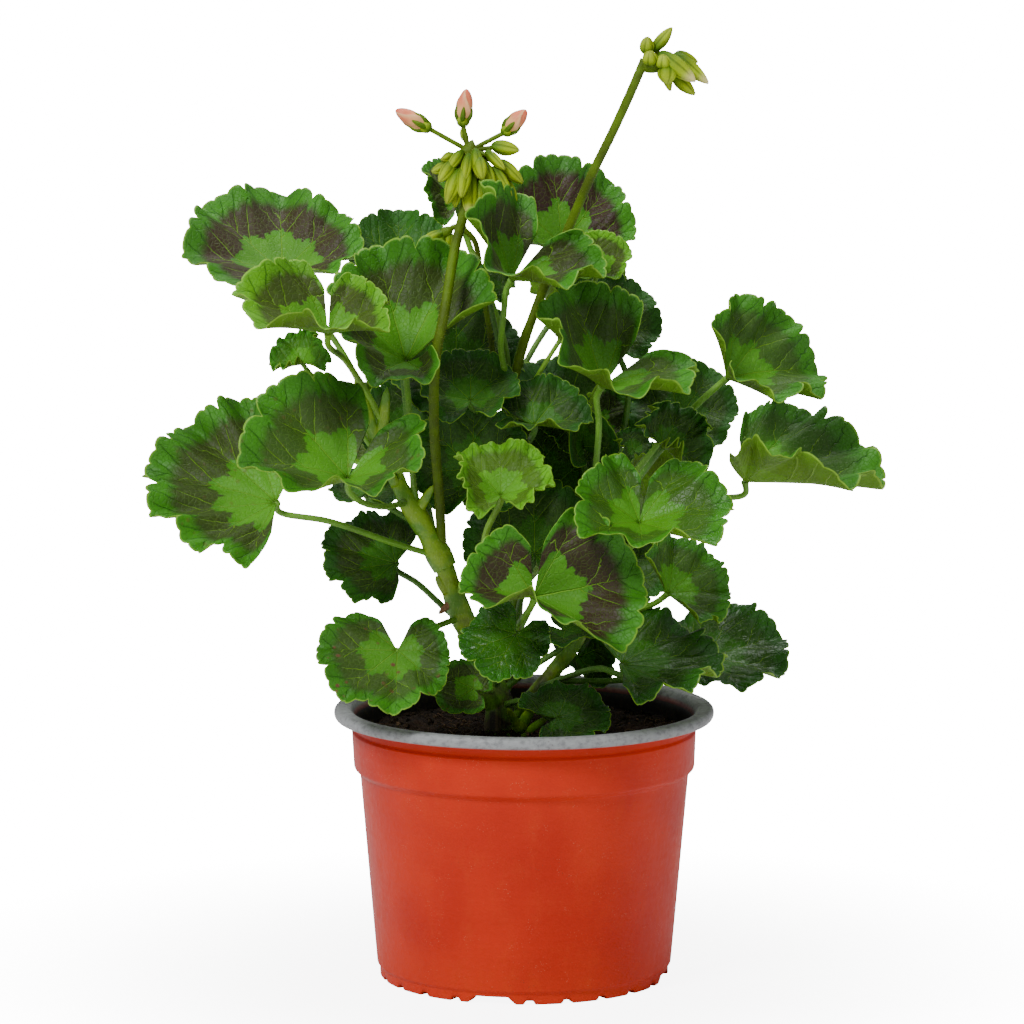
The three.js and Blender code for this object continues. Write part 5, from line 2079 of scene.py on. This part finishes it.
@dataclass(frozen=True)
class PotFinish:
    """Thin formed plastic: terracotta red with dust and scuffs, dark inside, worn grey rim."""

    red: Colour = (0.58, 0.024, 0.001, 1)
    deep: Colour = (0.47, 0.014, 0.001, 1)
    dusty: Colour = (0.56, 0.045, 0.006, 1)
    inside: Colour = (0.016, 0.014, 0.012, 1)
    rim: Colour = (0.30, 0.31, 0.315, 1)
    rim_dark: Colour = (0.20, 0.205, 0.21, 1)
    rim_light: Colour = (0.42, 0.435, 0.45, 1)
    mud: Colour = (0.10, 0.055, 0.03, 1)
    mote: Colour = (0.66, 0.20, 0.10, 1)
    ring_rate: float = 1.7
    relief: float = 0.00022

    def make(self) -> Material:
        """Builds the finish from the painted rim and inside.

        Returns:
            The material.
        """
        surface = Surface("pot_plastic")
        graph = surface.graph
        clouds, fine = surface.mottle(26.0, 420.0)
        u, v = graph.surface_place()
        place = graph.object_place()
        height = graph.add("SeparateXYZ", {0: place}, 2)
        rim, inside = graph.painted("rim"), graph.painted("inside")
        red = graph.blend(clouds, self.red, self.deep)
        upright = graph.add("Mapping", {"Vector": place, "Scale": (1.0, 1.0, 0.5)})
        film = graph.step(graph.noise(upright, 120, 8, 0.78), 0.46, 0.74, 0.0, 0.4)
        dust = graph.plus(film, graph.step(height, 0.03, 0.004, 0.0, 0.2))
        red = graph.blend(dust, red, self.dusty)
        scuffs = graph.step(graph.streaks((u, 90.0), (v, 0.35), 6, 0.8), 0.60, 0.74, 0.0, 0.4)
        red = graph.blend(scuffs, red, self.dusty)
        motes = graph.spots(
            place, 1100, (0.20, 0.10), graph.step(graph.noise(place, 130, 3), 0.5, 0.66)
        )
        red = graph.blend(graph.times(motes, 0.7), red, self.mote)
        grains = graph.spots(
            place, 620, (0.16, 0.08), graph.step(graph.noise(place, 60, 2), 0.54, 0.7)
        )
        red = graph.blend(graph.times(grains, 0.6), red, self.mud)
        worn = graph.streaks((u, 150.0), (v, 0.4), 5, 0.7)
        grey = graph.blend(graph.step(worn, 0.36, 0.55), self.rim_dark, self.rim)
        grey = graph.blend(graph.step(worn, 0.58, 0.76), grey, self.rim_light)
        grey = graph.blend(graph.times(grains, 0.9), grey, self.mud)
        dark = graph.blend(graph.step(fine, 0.5, 0.8, 0.0, 0.4), self.inside, self.mud)
        hidden = graph.times(inside, graph.less(1.0, rim))
        colour = graph.blend(hidden, graph.blend(rim, red, grey), dark)
        rough = graph.scaled(fine, 0.14, graph.scaled(dust, 0.3, 0.36))
        rings = graph.math("SINE", graph.times(v, self.ring_rate))
        relief = graph.scaled(scuffs, -0.6, graph.scaled(rings, 0.10, fine))
        normal = graph.bump(relief, self.relief, 0.6)
        return surface.dress(colour, rough, normal, Specular_IOR_Level=0.2)


@dataclass(frozen=True)
class PeatFinish:
    """Moist dark peat with paler crumbs and fibres."""

    wet: Colour = (0.008, 0.005, 0.003, 1)
    damp: Colour = (0.026, 0.014, 0.007, 1)
    fibre: Colour = (0.16, 0.095, 0.05, 1)
    moss: Colour = (0.055, 0.12, 0.008, 1)
    relief: float = 0.0012

    def make(self) -> Material:
        """Builds the finish from the painted paleness and moss of crumbs and fibres.

        Returns:
            The material.
        """
        surface = Surface("peat")
        graph = surface.graph
        clouds, grain = surface.mottle(210.0, 1200.0)
        earth = graph.blend(clouds, self.wet, self.damp)
        turned = {"Scale": (1.0, 0.25, 1.0), "Rotation": (0.0, 0.0, 0.7)}
        laid = graph.add("Mapping", {"Vector": graph.object_place(), **turned})
        threads = graph.step(graph.noise(laid, 900, 3, 0.7), 0.62, 0.72, 0.0, 0.5)
        earth = graph.blend(threads, earth, self.fibre)
        earth = graph.blend(graph.times(graph.painted("pale"), 0.8), earth, self.fibre)
        earth = graph.blend(graph.step(graph.painted("moss"), 0.3, 0.6), earth, self.moss)
        normal = graph.bump(graph.plus(grain, graph.times(clouds, 1.6)), self.relief, 0.9)
        rough = graph.scaled(grain, 0.2, 0.75)
        return surface.dress(earth, rough, normal, Specular_IOR_Level=0.15)


# ---- Studio ----
@dataclass(frozen=True)
class Lamp:
    """A rectangular light: its name, place, aim and size in metres, and its power in watts."""

    name: str
    place: Point
    aim: Point
    size: float
    power: float


@dataclass
class Studio:
    """A pale floor that runs to the horizon, an even bright surround, soft lamps and the camera.

    The camera looks at the target. Sky is the surround's strength as a light; glow is how bright
    the floor looks by the pot, and how bright it and the surround look from near to far off.
    """

    target: Point = (-0.0048, 0.0, 0.1846)
    distance: float = 2.0
    elevation: float = 7.83
    lens: float = 179.05
    sensor: float = 36.0
    sky: float = 0.34
    glow: tuple[float, float] = (7.0, 18.0)
    near: float = 0.07
    far: float = 0.34
    half_floor: float = 9.0
    lamps: tuple[Lamp, ...] = (
        Lamp("key", (-0.9, -1.2, 1.6), (0, 0, 0.2), 0.55, 38),
        Lamp("fill", (1.3, -1.1, 0.7), (0, 0, 0.2), 1.0, 4),
        Lamp("top", (0.1, 0.5, 1.7), (0, 0, 0.25), 0.7, 15),
    )

    def camera(self) -> None:
        """Places the camera in front of the plant and a little above it."""
        data = bpy.data.cameras.new("camera")
        data.sensor_width = self.sensor
        data.lens = self.lens
        camera = bpy.data.objects.new("camera", data)
        tilt = math.radians(self.elevation)
        aim = np.asarray(self.target) + POT_AXIS
        camera.location = aim + self.distance * np.array([0, -math.cos(tilt), math.sin(tilt)])
        camera.rotation_euler = (math.pi / 2 - tilt, 0, 0)
        bpy.context.scene.collection.objects.link(camera)
        bpy.context.scene.camera = camera

    def floor(self) -> None:
        """Lays the floor, which is only part of the studio; away from the pot it fades to white."""
        half = self.half_floor
        corners = [(-half, -half, 0), (half, -half, 0), (half, half, 0), (-half, half, 0)]
        mesh = bpy.data.meshes.new("floor")
        mesh.from_pydata(corners, [], [(0, 1, 2, 3)])
        floor = bpy.data.objects.new("floor", mesh)
        bpy.context.scene.collection.objects.link(floor)
        surface = Surface("floor_paper")
        graph = surface.graph
        place = graph.object_place()
        grain = graph.noise(place, 900, 3)
        away = graph.add("VectorMath", {0: place}, "Value", operation="LENGTH")
        paper = graph.blend(grain, (0.86, 0.86, 0.86, 1), (0.92, 0.92, 0.92, 1))
        rough, normal = graph.scaled(grain, 0.1, 0.85), graph.bump(grain, 0.0001, 0.3)
        mesh.materials.append(surface.dress(paper, rough, normal, Specular_IOR_Level=0.1))
        surface.shader.inputs["Emission Color"].default_value = (1, 1, 1, 1)
        fade = graph.step(away, self.near, self.far, *self.glow)
        lit = graph.times(graph.add("LightPath", output="Is Camera Ray"), fade)
        graph.feed(surface.shader.inputs["Emission Strength"], lit)

    def surround(self) -> None:
        """Lights everything evenly with a near-white surround, which itself looks pure white."""
        world = bpy.data.worlds.new("surround")
        world.use_nodes = True
        graph = Graph(world.node_tree)
        background = world.node_tree.nodes["Background"]
        background.inputs["Color"].default_value = (1, 1, 1, 1)
        seen = graph.add("LightPath", output="Is Camera Ray")
        strength = graph.scaled(seen, self.glow[1] - self.sky, self.sky)
        graph.feed(background.inputs["Strength"], strength)
        bpy.context.scene.world = world

    def light(self, lamp: Lamp) -> None:
        """Hangs one lamp and turns it to what it lights.

        Args:
            lamp: The lamp.
        """
        data = bpy.data.lights.new(lamp.name, "AREA")
        data.shape = "SQUARE"
        data.size = lamp.size
        data.energy = lamp.power
        light = bpy.data.objects.new(lamp.name, data)
        light.location = lamp.place
        towards = Vector(lamp.aim) - Vector(lamp.place)
        light.rotation_euler = towards.to_track_quat("-Z", "Y").to_euler()
        bpy.context.scene.collection.objects.link(light)

    def make(self) -> None:
        """Sets up the whole studio."""
        self.camera()
        self.floor()
        self.surround()
        for lamp in self.lamps:
            self.light(lamp)


# ---- The whole plant ----
def record_size() -> None:
    """Updates the view layer so that every placement is current."""
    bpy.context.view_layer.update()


def main() -> None:
    """Builds the potted plant and the studio around it."""
    logging.basicConfig(level=logging.INFO, format="%(name)s: %(message)s")
    Studio().make()
    pot = NurseryPot()
    pot.make(PotFinish().make())
    PottingSoil(pot).make(PeatFinish().make())
    Stem().make(BarkFinish().make())
    maker = LeafMaker()
    finishes = [BladeFinish().make(), StalkFinish().make()]
    for number, leaf in enumerate(LEAVES, 1):
        maker.make(leaf, number, *finishes)
    heads = FlowerHeadMaker(BudFinish().make(), PetalFinish().make())
    for head in (LEFT_HEAD, RIGHT_HEAD, SMALL_HEAD):
        heads.make(head)
    record_size()


if __name__ == "__main__":
    main()
